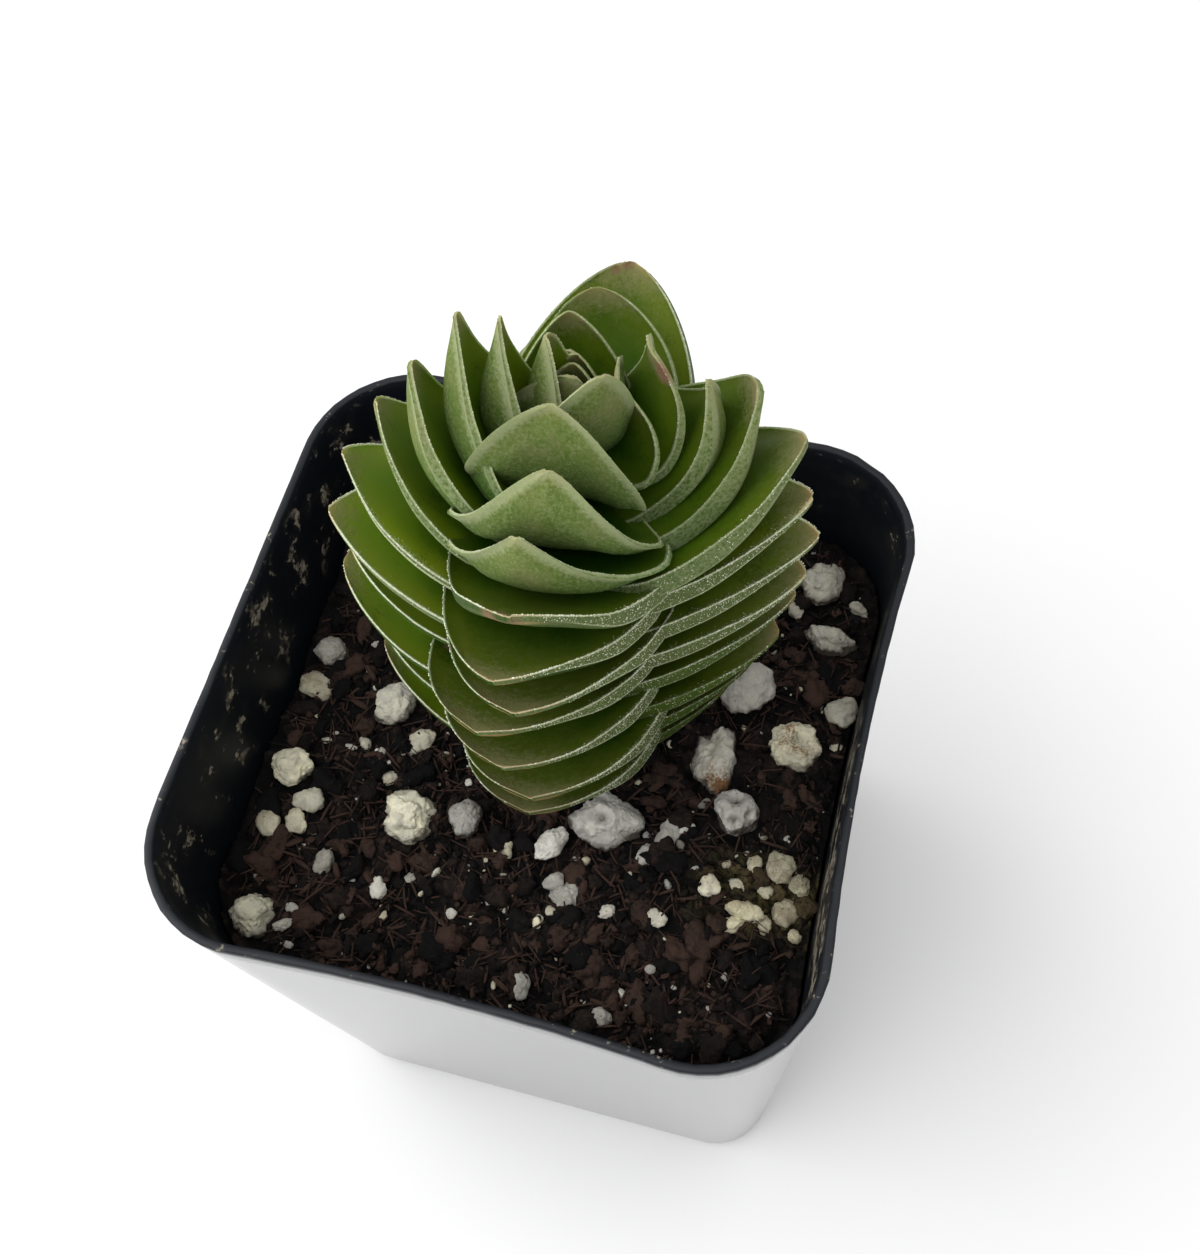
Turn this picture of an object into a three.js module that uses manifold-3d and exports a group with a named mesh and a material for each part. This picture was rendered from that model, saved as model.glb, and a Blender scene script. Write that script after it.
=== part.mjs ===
// A four-ranked column succulent in potting soil and pumice, in a square nursery pot.
// Millimetres, +Z up. The origin is the centre of the pot's underside, and the pot's sides lie along X and Y.
import * as THREE from "three";
import { mergeVertices } from "three/addons/utils/BufferGeometryUtils.js";
import Module from "manifold-3d";

const wasm = await Module();
wasm.setup();

// Gap that every piece keeps to the piece that carries it
const SEAT_GAP = 0.3;

// Edges and slivers under this size are closed up after joining and cutting
const SMALLEST_DETAIL = 0.02;

// Corners of a geometry that lie closer than this are one
const MERGE_DISTANCE = 1e-4;

// Pot: half-widths are measured to the ends of the flat sides
const POT_HEIGHT = 66;
const RIM_HALF = 28.5;
const BASE_HALF = 25.1;
const RIM_CORNER = 10.1;
const BASE_CORNER = 6;
const WALL = 0.9;
const FLOOR = 1.2;
const MID_HEIGHTS = [22, 44];
const SIDE_BOW = { back: 0, left: 0, front: 0.7, right: 0.8 };
const DRAIN_HOLE_RADIUS = 1.9;
const DRAIN_HOLE_OFFSET = 17;
const DRAIN_HOLE_SIDES = 12;

// A rounded square has these steps round each corner and along each side
const CORNER_STEPS = 6;
const SIDE_STEPS = 4;
const QUARTER_STEPS = CORNER_STEPS + SIDE_STEPS;
// Its corner radius is at most this share of its half-width
const ROUNDEST = 0.8;

// Soil
const SOIL_LEVEL = 52;
const SOIL_RELIEF = 0.5;
// Its waves: radians for each millimetre along X and Y, where they start, and height as a share of the relief
const BROAD_WAVES = { x: 0.31, y: 0.27, startX: 0.9, startY: -0.4 };
const SLANTED_WAVES = { x: 0.63, y: -0.52, start: 2.1, height: 0.6 };
const HOLLOW_DEPTH = 1.7;
const HOLLOW_RADIUS = 16;
const SOIL_RINGS = [26.4, 24, 21, 18, 15, 12, 9];
const SOIL_EDGE_DEPTH = 1.5;
const SURFACE_DEPTH = 1;
const RING_ROUNDING = 0.9;
const STEM_HOLE_RELIEF = 3;

// Small grains: length, width and height as multiples of a size, and how far they keep from the middle
// of the pot, at the most, and from the stem, at the least
const GRAIN_COUNT = 34;
const GRAIN_SIZES = [0.7, 1.3];
const GRAIN_SHAPE = [2, 1.7, 1.6];
const GRAIN_FIELD = 23;
const GRAIN_STEM_GAP = 14;
const GRAIN_PLACES_SEED = 2024;
const GRAIN_SEED = 101;

// Stem: its axis leans and bends a little to the back right as it rises
const STEM_FOOT = new THREE.Vector3(1.4, 3.0, 45.5);
const STEM_BEND = new THREE.Vector3(0.95, 4.9, 70);
const STEM_TOP = new THREE.Vector3(3.5, 6.7, 94.5);
const STEM_RADIUS = 4.2;
const STEM_TIP_RADIUS = 1.2;
const STEM_SIDES = 12;
const STEM_STEPS = 8;

// Leaves grow in opposite pairs, each pair a quarter turn from the pair below it
const PAIR_COUNT = 24;
const LOWEST_PAIR_HEIGHT = 55;
const PAIR_SPACING = 2.45;
const CROWDED_FROM_PAIR = 12;
const CROWN_HEIGHT = 9.5;
const RANK_TURN = 6.5;
const TIP_THICKNESS = 0.7;
const BELLY = 0.8;
const FOOT_RISE = 0.12;
const LEAF_FOOT = 0.12;
const TIP_HALF_WIDTH = 0.25;
// Margins keep their full thickness to the first of these shares of the length and are thin from the second
const THINNING = [0.6, 0.97];
// How straight down a leaf's underside hangs, by pair: 1 is plumb, 0 is square to the blade
const PLUMB = [[0, 1], [12, 1], [16, 0.3], [23, 0.3]];
// Waves of a margin: how many radians fit into half the width, where they start, and how late they fade
const WAVE_TURNS = 4.2;
const WAVE_START = 1.2;
const WAVE_FADING = 6;
const LEAF_LENGTH_STEPS = 6;
const LEAF_WIDTH_STEPS = 4;
// Steps along a leaf crowd towards the tip, the more the smaller this is
const STEP_CROWDING = 0.42;

// One rank of leaves on each side of the stem. Each line gives stations of pair number, from the lowest
// up, and value.
// reach: how far the tips stand from the stem. rise: how far they rise above their pair's node.
// turnUp: how far out the blade runs before it turns up, as a share of its reach.
// aspect: half-width as a share of the length. shoulder and taper: the higher the shoulder and the lower
// the taper, the rounder the outline. waist: width at the foot as a share of the full width, which is
// reached at widest. cup: how high the margins stand, as a share of the half-width.
// flank: thickness of the margins. roll: degrees about a level line through the tip. wave: millimetres, which
// fade out towards the tip.
const RANKS = {
  right: {
    reach: [[0, 13.7], [4, 17.4], [6, 18.2], [10, 18.7], [14, 16.1], [18, 8.8], [20, 5.4], [22, 3.1]],
    rise: [[0, 5.7], [8, 6], [10, 6.5], [12, 7.5], [14, 9.5], [18, 9.3], [20, 8.2], [22, 5.3]],
    turnUp: [[0, 0.45], [10, 0.48], [12, 0.53], [14, 0.65], [16, 0.83], [18, 1.15], [20, 1.16], [22, 1.35]],
    aspect: [[0, 0.475], [8, 0.475], [12, 0.5], [16, 0.51], [18, 0.6], [20, 0.48], [22, 0.8]],
    shoulder: [[0, 2.2], [6, 1.9], [10, 1.4], [16, 1.4], [18, 1], [20, 1.6], [22, 3.9]],
    taper: [[0, 0.65], [8, 0.72], [12, 0.76], [16, 0.63], [18, 0.95], [20, 0.42], [22, 0.42]],
    waist: [[0, 0.74], [16, 0.74], [18, 0.95], [20, 0.6], [22, 0.6]],
    widest: [[0, 0.38], [18, 0.38], [22, 0.5]],
    cup: [[0, 0.34], [6, 0.34], [12, 0.07], [16, 0.07], [18, -0.05], [20, -0.2], [22, -0.25]],
    flank: [[0, 1.7], [12, 1.9], [18, 1.9], [20, 1.1], [22, 0.7]],
    roll: [[0, 0], [6, 0], [10, -3], [14, -10], [16, -5], [18, 3], [20, -6], [22, -12]],
    wave: [[0, 0], [6, 0], [10, 0.5], [22, 0.45]],
  },
  left: {
    reach: [[0, 13.7], [2, 16.3], [6, 18.4], [8, 17.2], [10, 17.7], [12, 15.9], [20, 4.6], [22, 1.7]],
    rise: [[0, 6], [8, 5.6], [10, 6.1], [12, 7.7], [16, 11.3], [18, 12.9], [20, 12.1], [22, 10.4]],
    turnUp: [[0, 0.6], [10, 0.62], [12, 0.72], [16, 0.92], [22, 0.93]],
    aspect: [[0, 0.56], [8, 0.5], [16, 0.49], [18, 0.53], [20, 0.39], [22, 0.4]],
    shoulder: [[0, 2.6], [8, 2.3], [12, 1.63], [14, 1.6], [16, 1.2], [22, 1.2]],
    taper: [[0, 0.67], [8, 0.68], [10, 0.84], [16, 0.78], [18, 0.95], [20, 0.95], [22, 0.65]],
    waist: [[0, 0.74], [22, 0.74]],
    widest: [[0, 0.38], [22, 0.38]],
    cup: [[0, 0.25], [8, 0.28], [10, 0.1], [12, 0.02], [14, 0.05], [18, 0.22], [22, 0.5]],
    flank: [[0, 0.9], [10, 1], [12, 1.5], [16, 1.4], [20, 1.6], [22, 1.1]],
    roll: [[0, 0], [8, 0], [10, 6], [12, 11], [16, 11.5], [20, 8], [22, 1]],
    wave: [[0, -0.2], [14, -0.1], [16, 0], [18, -0.5], [22, -0.3]],
  },
  front: {
    reach: [[1, 15.4], [3, 16.4], [9, 17], [11, 17.6], [13, 15.5], [17, 8.7], [19, 4.8], [21, 3.6], [23, 1]],
    rise: [[1, 5.5], [5, 6.5], [9, 7.4], [11, 7.9], [15, 10.3], [17, 11], [21, 11], [23, 8]],
    turnUp: [[1, 0.52], [9, 0.45], [11, 0.57], [13, 0.68], [15, 1.09], [17, 1.3], [19, 1.3], [21, 0.9]],
    aspect: [[1, 0.52], [5, 0.48], [9, 0.48], [11, 0.43], [13, 0.46], [15, 0.59], [17, 0.64], [21, 0.5]],
    shoulder: [[1, 3], [5, 2.9], [9, 2.3], [13, 2.3], [15, 1.66], [17, 1.5], [19, 3.2], [21, 2.2]],
    taper: [[1, 0.42], [7, 0.42], [9, 0.46], [11, 0.64], [13, 0.64], [15, 0.94], [17, 0.76], [21, 0.72]],
    waist: [[1, 0.74], [13, 0.74], [15, 0.6], [17, 0.35], [19, 0.34], [21, 0.5]],
    widest: [[1, 0.38], [15, 0.42], [17, 0.47], [19, 0.68], [21, 0.53]],
    cup: [[1, 0.3], [9, 0.3], [11, 0.24], [13, 0.16], [15, 0.12], [17, 0.03], [19, -0.2], [21, 0.1]],
    flank: [[1, 1.6], [11, 1.8], [13, 1.4], [15, 0.9], [19, 0.8], [23, 0.7]],
    roll: [[1, 8], [13, 9], [15, 8.5], [17, 1.5], [19, 5], [21, -10]],
    wave: [[1, 0], [9, 0.25], [11, 0.22], [13, 0.67], [15, 0], [17, 0.65], [19, 0.25], [23, 0.25]],
  },
  back: {
    reach: [[1, 14.8], [9, 16], [13, 15.7], [15, 11], [17, 6.6], [19, 3.3], [23, 0.8]],
    rise: [[1, 5.7], [5, 6.3], [9, 7.1], [13, 9.4], [15, 8.4], [17, 8.3], [19, 6.6], [23, 7]],
    turnUp: [[1, 0.52], [11, 0.55], [13, 0.64], [15, 0.8], [23, 0.8]],
    aspect: [[1, 0.48], [11, 0.46], [13, 0.4], [15, 0.42], [23, 0.42]],
    shoulder: [[1, 2.5], [11, 2.5], [13, 2.7], [15, 3], [23, 2.8]],
    taper: [[1, 0.55], [11, 0.6], [13, 0.65], [15, 0.6], [17, 0.7]],
    waist: [[1, 0.74], [23, 0.74]],
    widest: [[1, 0.38], [23, 0.38]],
    cup: [[1, 0.3], [13, 0.34], [15, 0.26], [17, 0.47], [23, 0.48]],
    flank: [[1, 1.6], [13, 1.3], [15, 0.9], [23, 0.7]],
    roll: [[1, 0], [11, 0], [13, -3], [15, -14], [17, -3], [23, 0]],
    wave: [[1, 0], [11, 0], [13, 0.2], [15, 0.2], [23, 0]],
  },
};

// Leaves that sit out of line with their rank, in degrees, by pair number
const SWINGS = {
  right: { 6: 3, 12: -2, 14: 1, 16: 11, 18: 4, 20: 28, 22: 24 },
  left: { 2: 9, 6: 3, 8: 5, 10: 10, 12: 9, 14: 6, 16: 7, 18: -2 },
  front: { 1: -5, 3: -2, 5: -9, 7: -14, 9: -3, 11: -7, 13: -5, 15: -7, 19: -6, 21: 38 },
  back: { 13: -8.5, 15: -1.5, 17: 10, 19: 15 },
};

// Pumice chunks on the soil: place of the middle, length, width, height and turn in degrees
const CHUNKS = {
  round: [6.2, -6.0, 6.0, 5.0, 4.0, 15],
  pebble: [1.9, -9.4, 3.6, 2.3, 2.2, 60],
  pitted: [17.6, -2.9, 4.5, 4.1, 3.6, 60],
  long: [14.5, 2.0, 6.9, 3.6, 3.6, 100],
  shaded: [16.0, 9.1, 5.2, 4.5, 3.8, 150],
  flat: [21.6, 4.2, 5.9, 3.9, 3.2, 5],
  double: [-11.3, -10.4, 5.4, 4.2, 3.4, 0],
  side: [-6.2, -9.3, 3.2, 2.9, 2.6, 15],
  yellow: [-23.6, -8.5, 4.4, 3.4, 3.0, 10],
  corner: [-22.0, -22.6, 4.4, 3.8, 3.2, 20],
  pale: [-16.1, 0.1, 4.3, 3.8, 3.4, 60],
  far_left: [-24.0, 3.9, 3.3, 3.0, 2.8, 20],
  far_right: [22.5, 15.9, 5.0, 2.8, 2.6, 170],
  back_right: [20.6, 21.6, 4.4, 3.6, 3.0, 60],
};
const CHUNK_SINK = 0.38;
const GRAIN_SINK = 0.55;
const CHUNK_ROUGHNESS = 0.1;
const CHUNK_SEED = 11;
// Swellings of a lump: radians for each unit of length along X, Y and Z
const SWELLINGS = [2.6, 3.1, 2.9];

const POT_PLASTIC = new THREE.MeshStandardMaterial({ color: 0x0d0f14, roughness: 0.28, metalness: 0 });
const SOIL_FINISH = new THREE.MeshStandardMaterial({ color: 0x33241c, roughness: 0.95, metalness: 0 });
const LEAF_FINISH = new THREE.MeshStandardMaterial({ color: 0x4f7a2c, roughness: 0.55, metalness: 0 });
const PUMICE_FINISH = new THREE.MeshStandardMaterial({ color: 0xcfcbb8, roughness: 0.9, metalness: 0 });

// A repeatable source of numbers from 0 to 1
function draws(seed) {
  const factor = 1664525;
  const step = 1013904223;
  const range = 2 ** 32;
  let state = seed;
  return () => {
    state = (state * factor + step) % range;
    return state / range;
  };
}

// Reads a profile of [position, value] stations, straight between them
function along(stations, position) {
  const last = stations.length - 1;
  let i = 0;
  while (i < last - 1 && position > stations[i + 1][0]) {
    i += 1;
  }
  const share = (position - stations[i][0]) / (stations[i + 1][0] - stations[i][0]);
  return THREE.MathUtils.lerp(stations[i][1], stations[i + 1][1], THREE.MathUtils.clamp(share, 0, 1));
}

// Turns a closed geometry into a solid for joining and cutting
function solid(geometry) {
  const bare = geometry.clone();
  bare.deleteAttribute("normal");
  bare.deleteAttribute("uv");
  const merged = mergeVertices(bare, MERGE_DISTANCE);
  return new wasm.Manifold(
    new wasm.Mesh({
      numProp: 3,
      vertProperties: merged.attributes.position.array,
      triVerts: new Uint32Array(merged.index.array),
    }),
  );
}

// Keeps the outer skin of the one body that matters, without loose scraps or sealed hollows
function mainBody(shape) {
  return shape.decompose().sort((a, b) => b.volume() - a.volume())[0];
}

// Turns a joined or cut solid into a named mesh
function piece(name, shape, material) {
  const cut = mainBody(shape.simplify(SMALLEST_DETAIL)).getMesh();
  const geometry = new THREE.BufferGeometry();
  geometry.setAttribute("position", new THREE.BufferAttribute(cut.vertProperties, 3));
  geometry.setIndex(new THREE.BufferAttribute(cut.triVerts, 1));
  geometry.computeVertexNormals();
  const mesh = new THREE.Mesh(geometry, material);
  mesh.name = name;
  return mesh;
}

// Spins a profile of [half-width, height] points into a rounded square body. cornerAt gives the corner
// radius and bowAt the inward bow of the sides, both for a half-width and a height.
function squareBody(profile, cornerAt, bowAt) {
  const points = profile.map(([half, height]) => new THREE.Vector2(half, height));
  const body = new THREE.LatheGeometry(points, 4 * QUARTER_STEPS);
  body.rotateX(Math.PI / 2);
  const position = body.getAttribute("position");
  const sides = ["back", "left", "front", "right"];
  const corner = new THREE.Vector2();
  for (let i = 0; i < position.count; i += 1) {
    const half = Math.hypot(position.getX(i), position.getY(i));
    const height = position.getZ(i);
    const turn = Math.atan2(position.getY(i), position.getX(i)) / (2 * Math.PI) + 1;
    const step = Math.round(turn * 4 * QUARTER_STEPS) % (4 * QUARTER_STEPS);
    const quarter = Math.floor(step / QUARTER_STEPS);
    const inQuarter = step % QUARTER_STEPS;
    const radius = Math.min(cornerAt(half, height), ROUNDEST * half);
    const arm = half - radius;
    if (inQuarter <= CORNER_STEPS) {
      const angle = (inQuarter / CORNER_STEPS) * (Math.PI / 2);
      corner.set(arm + radius * Math.cos(angle), arm + radius * Math.sin(angle));
    } else {
      const run = 1 - (2 * (inQuarter - CORNER_STEPS)) / SIDE_STEPS;
      corner.set(arm * run, half - bowAt(sides[quarter], half, height) * (1 - run * run));
    }
    corner.rotateAround(new THREE.Vector2(), (quarter * Math.PI) / 2);
    position.setXY(i, corner.x, corner.y);
  }
  return solid(body);
}

// The pot's half-width, corner radius and bow grow evenly from base to rim
function potHalf(height) {
  return THREE.MathUtils.lerp(BASE_HALF, RIM_HALF, height / POT_HEIGHT);
}

function potCorner(half, height) {
  const outer = THREE.MathUtils.lerp(BASE_CORNER, RIM_CORNER, height / POT_HEIGHT);
  return Math.max(outer - (potHalf(height) - half), 1);
}

function potBow(side, half, height) {
  return SIDE_BOW[side] * (height / POT_HEIGHT) * (half / potHalf(height)) ** 4;
}

function pot() {
  const outside = [0, ...MID_HEIGHTS, POT_HEIGHT].map((height) => [potHalf(height), height]);
  const inside = [FLOOR, ...MID_HEIGHTS, POT_HEIGHT].map((height) => [potHalf(height) - WALL, height]);
  const profile = [[0, FLOOR], ...inside, ...outside.reverse(), [0, 0]];
  let shape = squareBody(profile.reverse(), potCorner, potBow);
  for (const x of [-1, 1]) {
    for (const y of [-1, 1]) {
      const hole = new THREE.CylinderGeometry(1, 1, 4 * FLOOR, DRAIN_HOLE_SIDES);
      hole.scale(DRAIN_HOLE_RADIUS, 1, DRAIN_HOLE_RADIUS);
      hole.rotateX(Math.PI / 2);
      hole.translate(x * DRAIN_HOLE_OFFSET, y * DRAIN_HOLE_OFFSET, 0);
      shape = shape.subtract(solid(hole));
    }
  }
  return piece("pot", shape, POT_PLASTIC);
}

// Uneven ground: a few crossed waves of unlike length, and a shallow hollow under the lowest leaves
function soilHeight(x, y) {
  const lengthwise = Math.sin(BROAD_WAVES.x * x + BROAD_WAVES.startX);
  const crosswise = Math.cos(BROAD_WAVES.y * y + BROAD_WAVES.startY);
  const slanted = Math.sin(SLANTED_WAVES.x * x + SLANTED_WAVES.y * y + SLANTED_WAVES.start);
  const waves = lengthwise * crosswise + SLANTED_WAVES.height * slanted;
  const fromStem = Math.hypot(x - STEM_FOOT.x, y - STEM_FOOT.y) / HOLLOW_RADIUS;
  return SOIL_LEVEL + SOIL_RELIEF * waves - HOLLOW_DEPTH * Math.exp(-(fromStem ** 4));
}

function soilBody() {
  const edge = (height) => potHalf(height) - WALL - SEAT_GAP;
  const foot = FLOOR + SEAT_GAP;
  const rings = SOIL_RINGS.map((half) => [half, SOIL_LEVEL]);
  const sides = [foot, ...MID_HEIGHTS, SOIL_LEVEL - SOIL_EDGE_DEPTH].map((height) => [edge(height), height]);
  const profile = [[0, foot], ...sides, ...rings, [0, SOIL_LEVEL]];
  const roundness = (half, height) => {
    const square = potCorner(half, height);
    return height < SOIL_LEVEL - SURFACE_DEPTH ? square : Math.max(square, RING_ROUNDING * (RIM_HALF - half));
  };
  const body = squareBody(profile, roundness, potBow);
  return body.warp((vertex) => {
    if (vertex[2] > SOIL_LEVEL - SURFACE_DEPTH) {
      vertex[2] = soilHeight(vertex[0], vertex[1]);
    }
  });
}

// A rounded lump with a few shallow hollows and swellings, as crushed pumice has
function lump([x, y, length, width, height, turn], detail, seed, sink, grow) {
  const draw = draws(seed);
  const starts = SWELLINGS.map(() => draw() * 2 * Math.PI);
  const geometry = new THREE.IcosahedronGeometry(1, detail);
  const position = geometry.getAttribute("position");
  const spot = new THREE.Vector3();
  for (let i = 0; i < position.count; i += 1) {
    spot.fromBufferAttribute(position, i);
    const swells = spot.toArray().map((value, axis) => Math.sin(SWELLINGS[axis] * value + starts[axis]));
    spot.multiplyScalar(1 + CHUNK_ROUGHNESS * (swells[0] + swells[1] + swells[2]));
    position.setXYZ(i, spot.x, spot.y, spot.z);
  }
  geometry.scale(length / 2 + grow, width / 2 + grow, height / 2 + grow);
  geometry.rotateZ(THREE.MathUtils.degToRad(turn));
  geometry.translate(x, y, soilHeight(x, y) + (0.5 - sink) * height);
  return solid(geometry);
}

function chunkPieces() {
  return Object.entries(CHUNKS).map(([name, size], index) =>
    piece("pumice_" + name, lump(size, 1, CHUNK_SEED + index, CHUNK_SINK, 0), PUMICE_FINISH),
  );
}

// Small grains keep clear of the stem, the wall and the larger chunks
function grains() {
  const draw = draws(GRAIN_PLACES_SEED);
  const found = [];
  while (found.length < GRAIN_COUNT) {
    const x = (2 * draw() - 1) * GRAIN_FIELD;
    const y = (2 * draw() - 1) * GRAIN_FIELD;
    const size = THREE.MathUtils.lerp(GRAIN_SIZES[0], GRAIN_SIZES[1], draw() ** 2);
    const nearStem = Math.hypot(x - STEM_FOOT.x, y - STEM_FOOT.y) < GRAIN_STEM_GAP;
    const nearChunk = Object.values(CHUNKS).some((chunk) => {
      return Math.hypot(x - chunk[0], y - chunk[1]) < chunk[2] / 2 + 2 * size;
    });
    if (!nearStem && !nearChunk) {
      found.push([x, y, ...GRAIN_SHAPE.map((share) => share * size), 360 * draw()]);
    }
  }
  return found;
}

function soil() {
  let shape = soilBody();
  grains().forEach((grain, index) => {
    shape = shape.add(lump(grain, 0, GRAIN_SEED + index, GRAIN_SINK, 0));
  });
  Object.values(CHUNKS).forEach((size, index) => {
    shape = shape.subtract(lump(size, 1, CHUNK_SEED + index, CHUNK_SINK, SEAT_GAP));
  });
  shape = shape.subtract(stem(STEM_FOOT.z - SEAT_GAP, SOIL_LEVEL + STEM_HOLE_RELIEF, SEAT_GAP));
  return piece("soil", shape, SOIL_FINISH);
}

// Height on the stem of each pair's node: evenly spaced below, ever closer towards the growing tip
function pairHeight(pair) {
  if (pair <= CROWDED_FROM_PAIR) {
    return LOWEST_PAIR_HEIGHT + PAIR_SPACING * pair;
  }
  const share = (pair - CROWDED_FROM_PAIR) / (PAIR_COUNT - 1 - CROWDED_FROM_PAIR);
  const evenTop = LOWEST_PAIR_HEIGHT + PAIR_SPACING * CROWDED_FROM_PAIR;
  return evenTop + CROWN_HEIGHT * (1 - (1 - share) ** 2);
}

// The stem's middle line as a place and a lean at a given height
function stemFrame(height) {
  const line = new THREE.QuadraticBezierCurve3(STEM_FOOT, STEM_BEND, STEM_TOP);
  const share = (height - STEM_FOOT.z) / (STEM_TOP.z - STEM_FOOT.z);
  const lean = new THREE.Quaternion();
  lean.setFromUnitVectors(new THREE.Vector3(0, 0, 1), line.getTangent(Math.max(share, 0)));
  return new THREE.Matrix4().compose(line.getPoint(share), lean, new THREE.Vector3(1, 1, 1));
}

// The stem between two heights, thicker all round by grow
function stem(foot, top, grow) {
  const rod = new THREE.CylinderGeometry(1, 1, 1, STEM_SIDES, STEM_STEPS);
  rod.rotateX(Math.PI / 2);
  const position = rod.getAttribute("position");
  const spot = new THREE.Vector3();
  for (let i = 0; i < position.count; i += 1) {
    spot.fromBufferAttribute(position, i);
    const height = THREE.MathUtils.lerp(foot, top, spot.z + 0.5);
    const share = Math.max((height - STEM_FOOT.z) / (STEM_TOP.z - STEM_FOOT.z), 0);
    const radius = THREE.MathUtils.lerp(STEM_RADIUS, STEM_TIP_RADIUS, share ** 3) + grow;
    spot.set(spot.x * radius, spot.y * radius, 0);
    spot.applyMatrix4(stemFrame(height));
    position.setXYZ(i, spot.x, spot.y, spot.z);
  }
  return solid(rod);
}

// A thick, cupped, broadly pointed blade along +X from the stem's middle line, with a squared-off margin
function leaf(pair, side) {
  const rank = RANKS[side];
  const reach = along(rank.reach, pair);
  const rise = along(rank.rise, pair);
  const cup = along(rank.cup, pair);
  const shoulder = along(rank.shoulder, pair);
  const taper = along(rank.taper, pair);
  const waist = along(rank.waist, pair);
  const widest = along(rank.widest, pair);
  const flank = along(rank.flank, pair);
  const wave = along(rank.wave, pair);
  const plumb = along(PLUMB, pair);
  const halfWidth = along(rank.aspect, pair) * Math.hypot(reach, rise);
  const midrib = new THREE.QuadraticBezierCurve(
    new THREE.Vector2(0, 0),
    new THREE.Vector2(along(rank.turnUp, pair) * reach, FOOT_RISE * rise),
    new THREE.Vector2(reach, rise),
  );
  const down = new THREE.Vector2(0, -1);
  const blade = new THREE.BoxGeometry(1, 1, 1, LEAF_LENGTH_STEPS, LEAF_WIDTH_STEPS, 1);
  const position = blade.getAttribute("position");
  for (let i = 0; i < position.count; i += 1) {
    const share = THREE.MathUtils.lerp(LEAF_FOOT, 1, (position.getX(i) + 0.5) ** STEP_CROWDING);
    const across = 2 * position.getY(i);
    const heading = midrib.getTangent(share);
    const square = new THREE.Vector2(heading.y, -heading.x);
    const fullness = THREE.MathUtils.lerp(waist, 1, THREE.MathUtils.smoothstep(share, 0, widest));
    const width = halfWidth * fullness * (1 - share ** shoulder) ** taper + TIP_HALF_WIDTH;
    const ripple = wave * Math.sin(WAVE_TURNS * across + WAVE_START) * (1 - share ** WAVE_FADING);
    const lift = (cup * width + ripple) * across * across;
    const spot = midrib.getPoint(share).addScaledVector(square, -lift);
    if (position.getZ(i) < 0) {
      const thin = THREE.MathUtils.smoothstep(share, ...THINNING);
      const thickness = THREE.MathUtils.lerp(flank, TIP_THICKNESS, thin);
      const belly = BELLY * flank * (1 - across * across) * (1 - share ** 3);
      spot.addScaledVector(square.lerp(down, plumb).normalize(), thickness + belly);
    }
    position.setXYZ(i, spot.x, width * across, spot.y - rise);
  }
  blade.rotateX(THREE.MathUtils.degToRad(along(rank.roll, pair)));
  blade.translate(0, 0, rise);
  return blade;
}

function plant() {
  let shape = stem(STEM_FOOT.z, STEM_TOP.z, 0);
  for (let pair = 0; pair < PAIR_COUNT; pair += 1) {
    const sides = pair % 2 === 0 ? ["right", "left"] : ["back", "front"];
    sides.forEach((side, half) => {
      const swing = SWINGS[side][pair] ?? 0;
      const turn = RANK_TURN + swing + 90 * (pair % 2) + 180 * half;
      const blade = leaf(pair, side);
      blade.rotateZ(THREE.MathUtils.degToRad(turn));
      blade.applyMatrix4(stemFrame(pairHeight(pair)));
      shape = shape.add(solid(blade));
    });
  }
  return piece("leafy_stem", shape, LEAF_FINISH);
}

const group = new THREE.Group();
group.add(pot());
group.add(soil());
group.add(plant());
group.add(...chunkPieces());

export default group;
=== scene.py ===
"""A four-ranked column succulent in potting soil and pumice, in a square black nursery pot."""

import math
import random

import bmesh
import bpy
from bpy.props import FloatProperty, FloatVectorProperty, IntProperty, PointerProperty
from bpy.types import Operator, Panel, PropertyGroup
from mathutils import Euler, Matrix, Vector, noise


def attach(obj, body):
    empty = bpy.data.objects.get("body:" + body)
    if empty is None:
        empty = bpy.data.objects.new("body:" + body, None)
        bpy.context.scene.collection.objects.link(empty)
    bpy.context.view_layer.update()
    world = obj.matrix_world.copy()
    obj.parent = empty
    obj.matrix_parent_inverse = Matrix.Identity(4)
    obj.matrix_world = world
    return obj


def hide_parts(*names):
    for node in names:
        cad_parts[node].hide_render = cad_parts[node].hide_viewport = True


bl_info = {
    "name": "Potted Column Succulent",
    "version": (1, 0, 0),
    "blender": (4, 5, 0),
    "location": "View3D > Sidebar > Succulent",
    "description": "Builds a column succulent, its soil, pumice and nursery pot around the packed solids",
    "category": "Add Mesh",
}

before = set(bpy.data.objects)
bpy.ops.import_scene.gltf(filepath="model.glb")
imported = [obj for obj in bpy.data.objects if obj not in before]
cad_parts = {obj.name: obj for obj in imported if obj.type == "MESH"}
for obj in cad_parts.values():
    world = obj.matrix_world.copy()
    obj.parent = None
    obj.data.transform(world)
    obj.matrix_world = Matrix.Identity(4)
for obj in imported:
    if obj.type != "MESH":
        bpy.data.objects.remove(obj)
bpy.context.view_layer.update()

# The shapes are worked out in millimetres, as the solids are, and scaled to metres at the end
MM = 0.001
BODY = "root"

# Stem: its axis leans and bends a little to the back right as it rises
STEM_FOOT = Vector((1.4, 3.0, 45.5))
STEM_BEND = Vector((0.95, 4.9, 70))
STEM_TOP = Vector((3.5, 6.7, 94.5))
STEM_RADIUS = 4.2
STEM_TIP_RADIUS = 1.2
# Steps round the stem and along it
STEM_STEPS = (20, 15)

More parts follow.
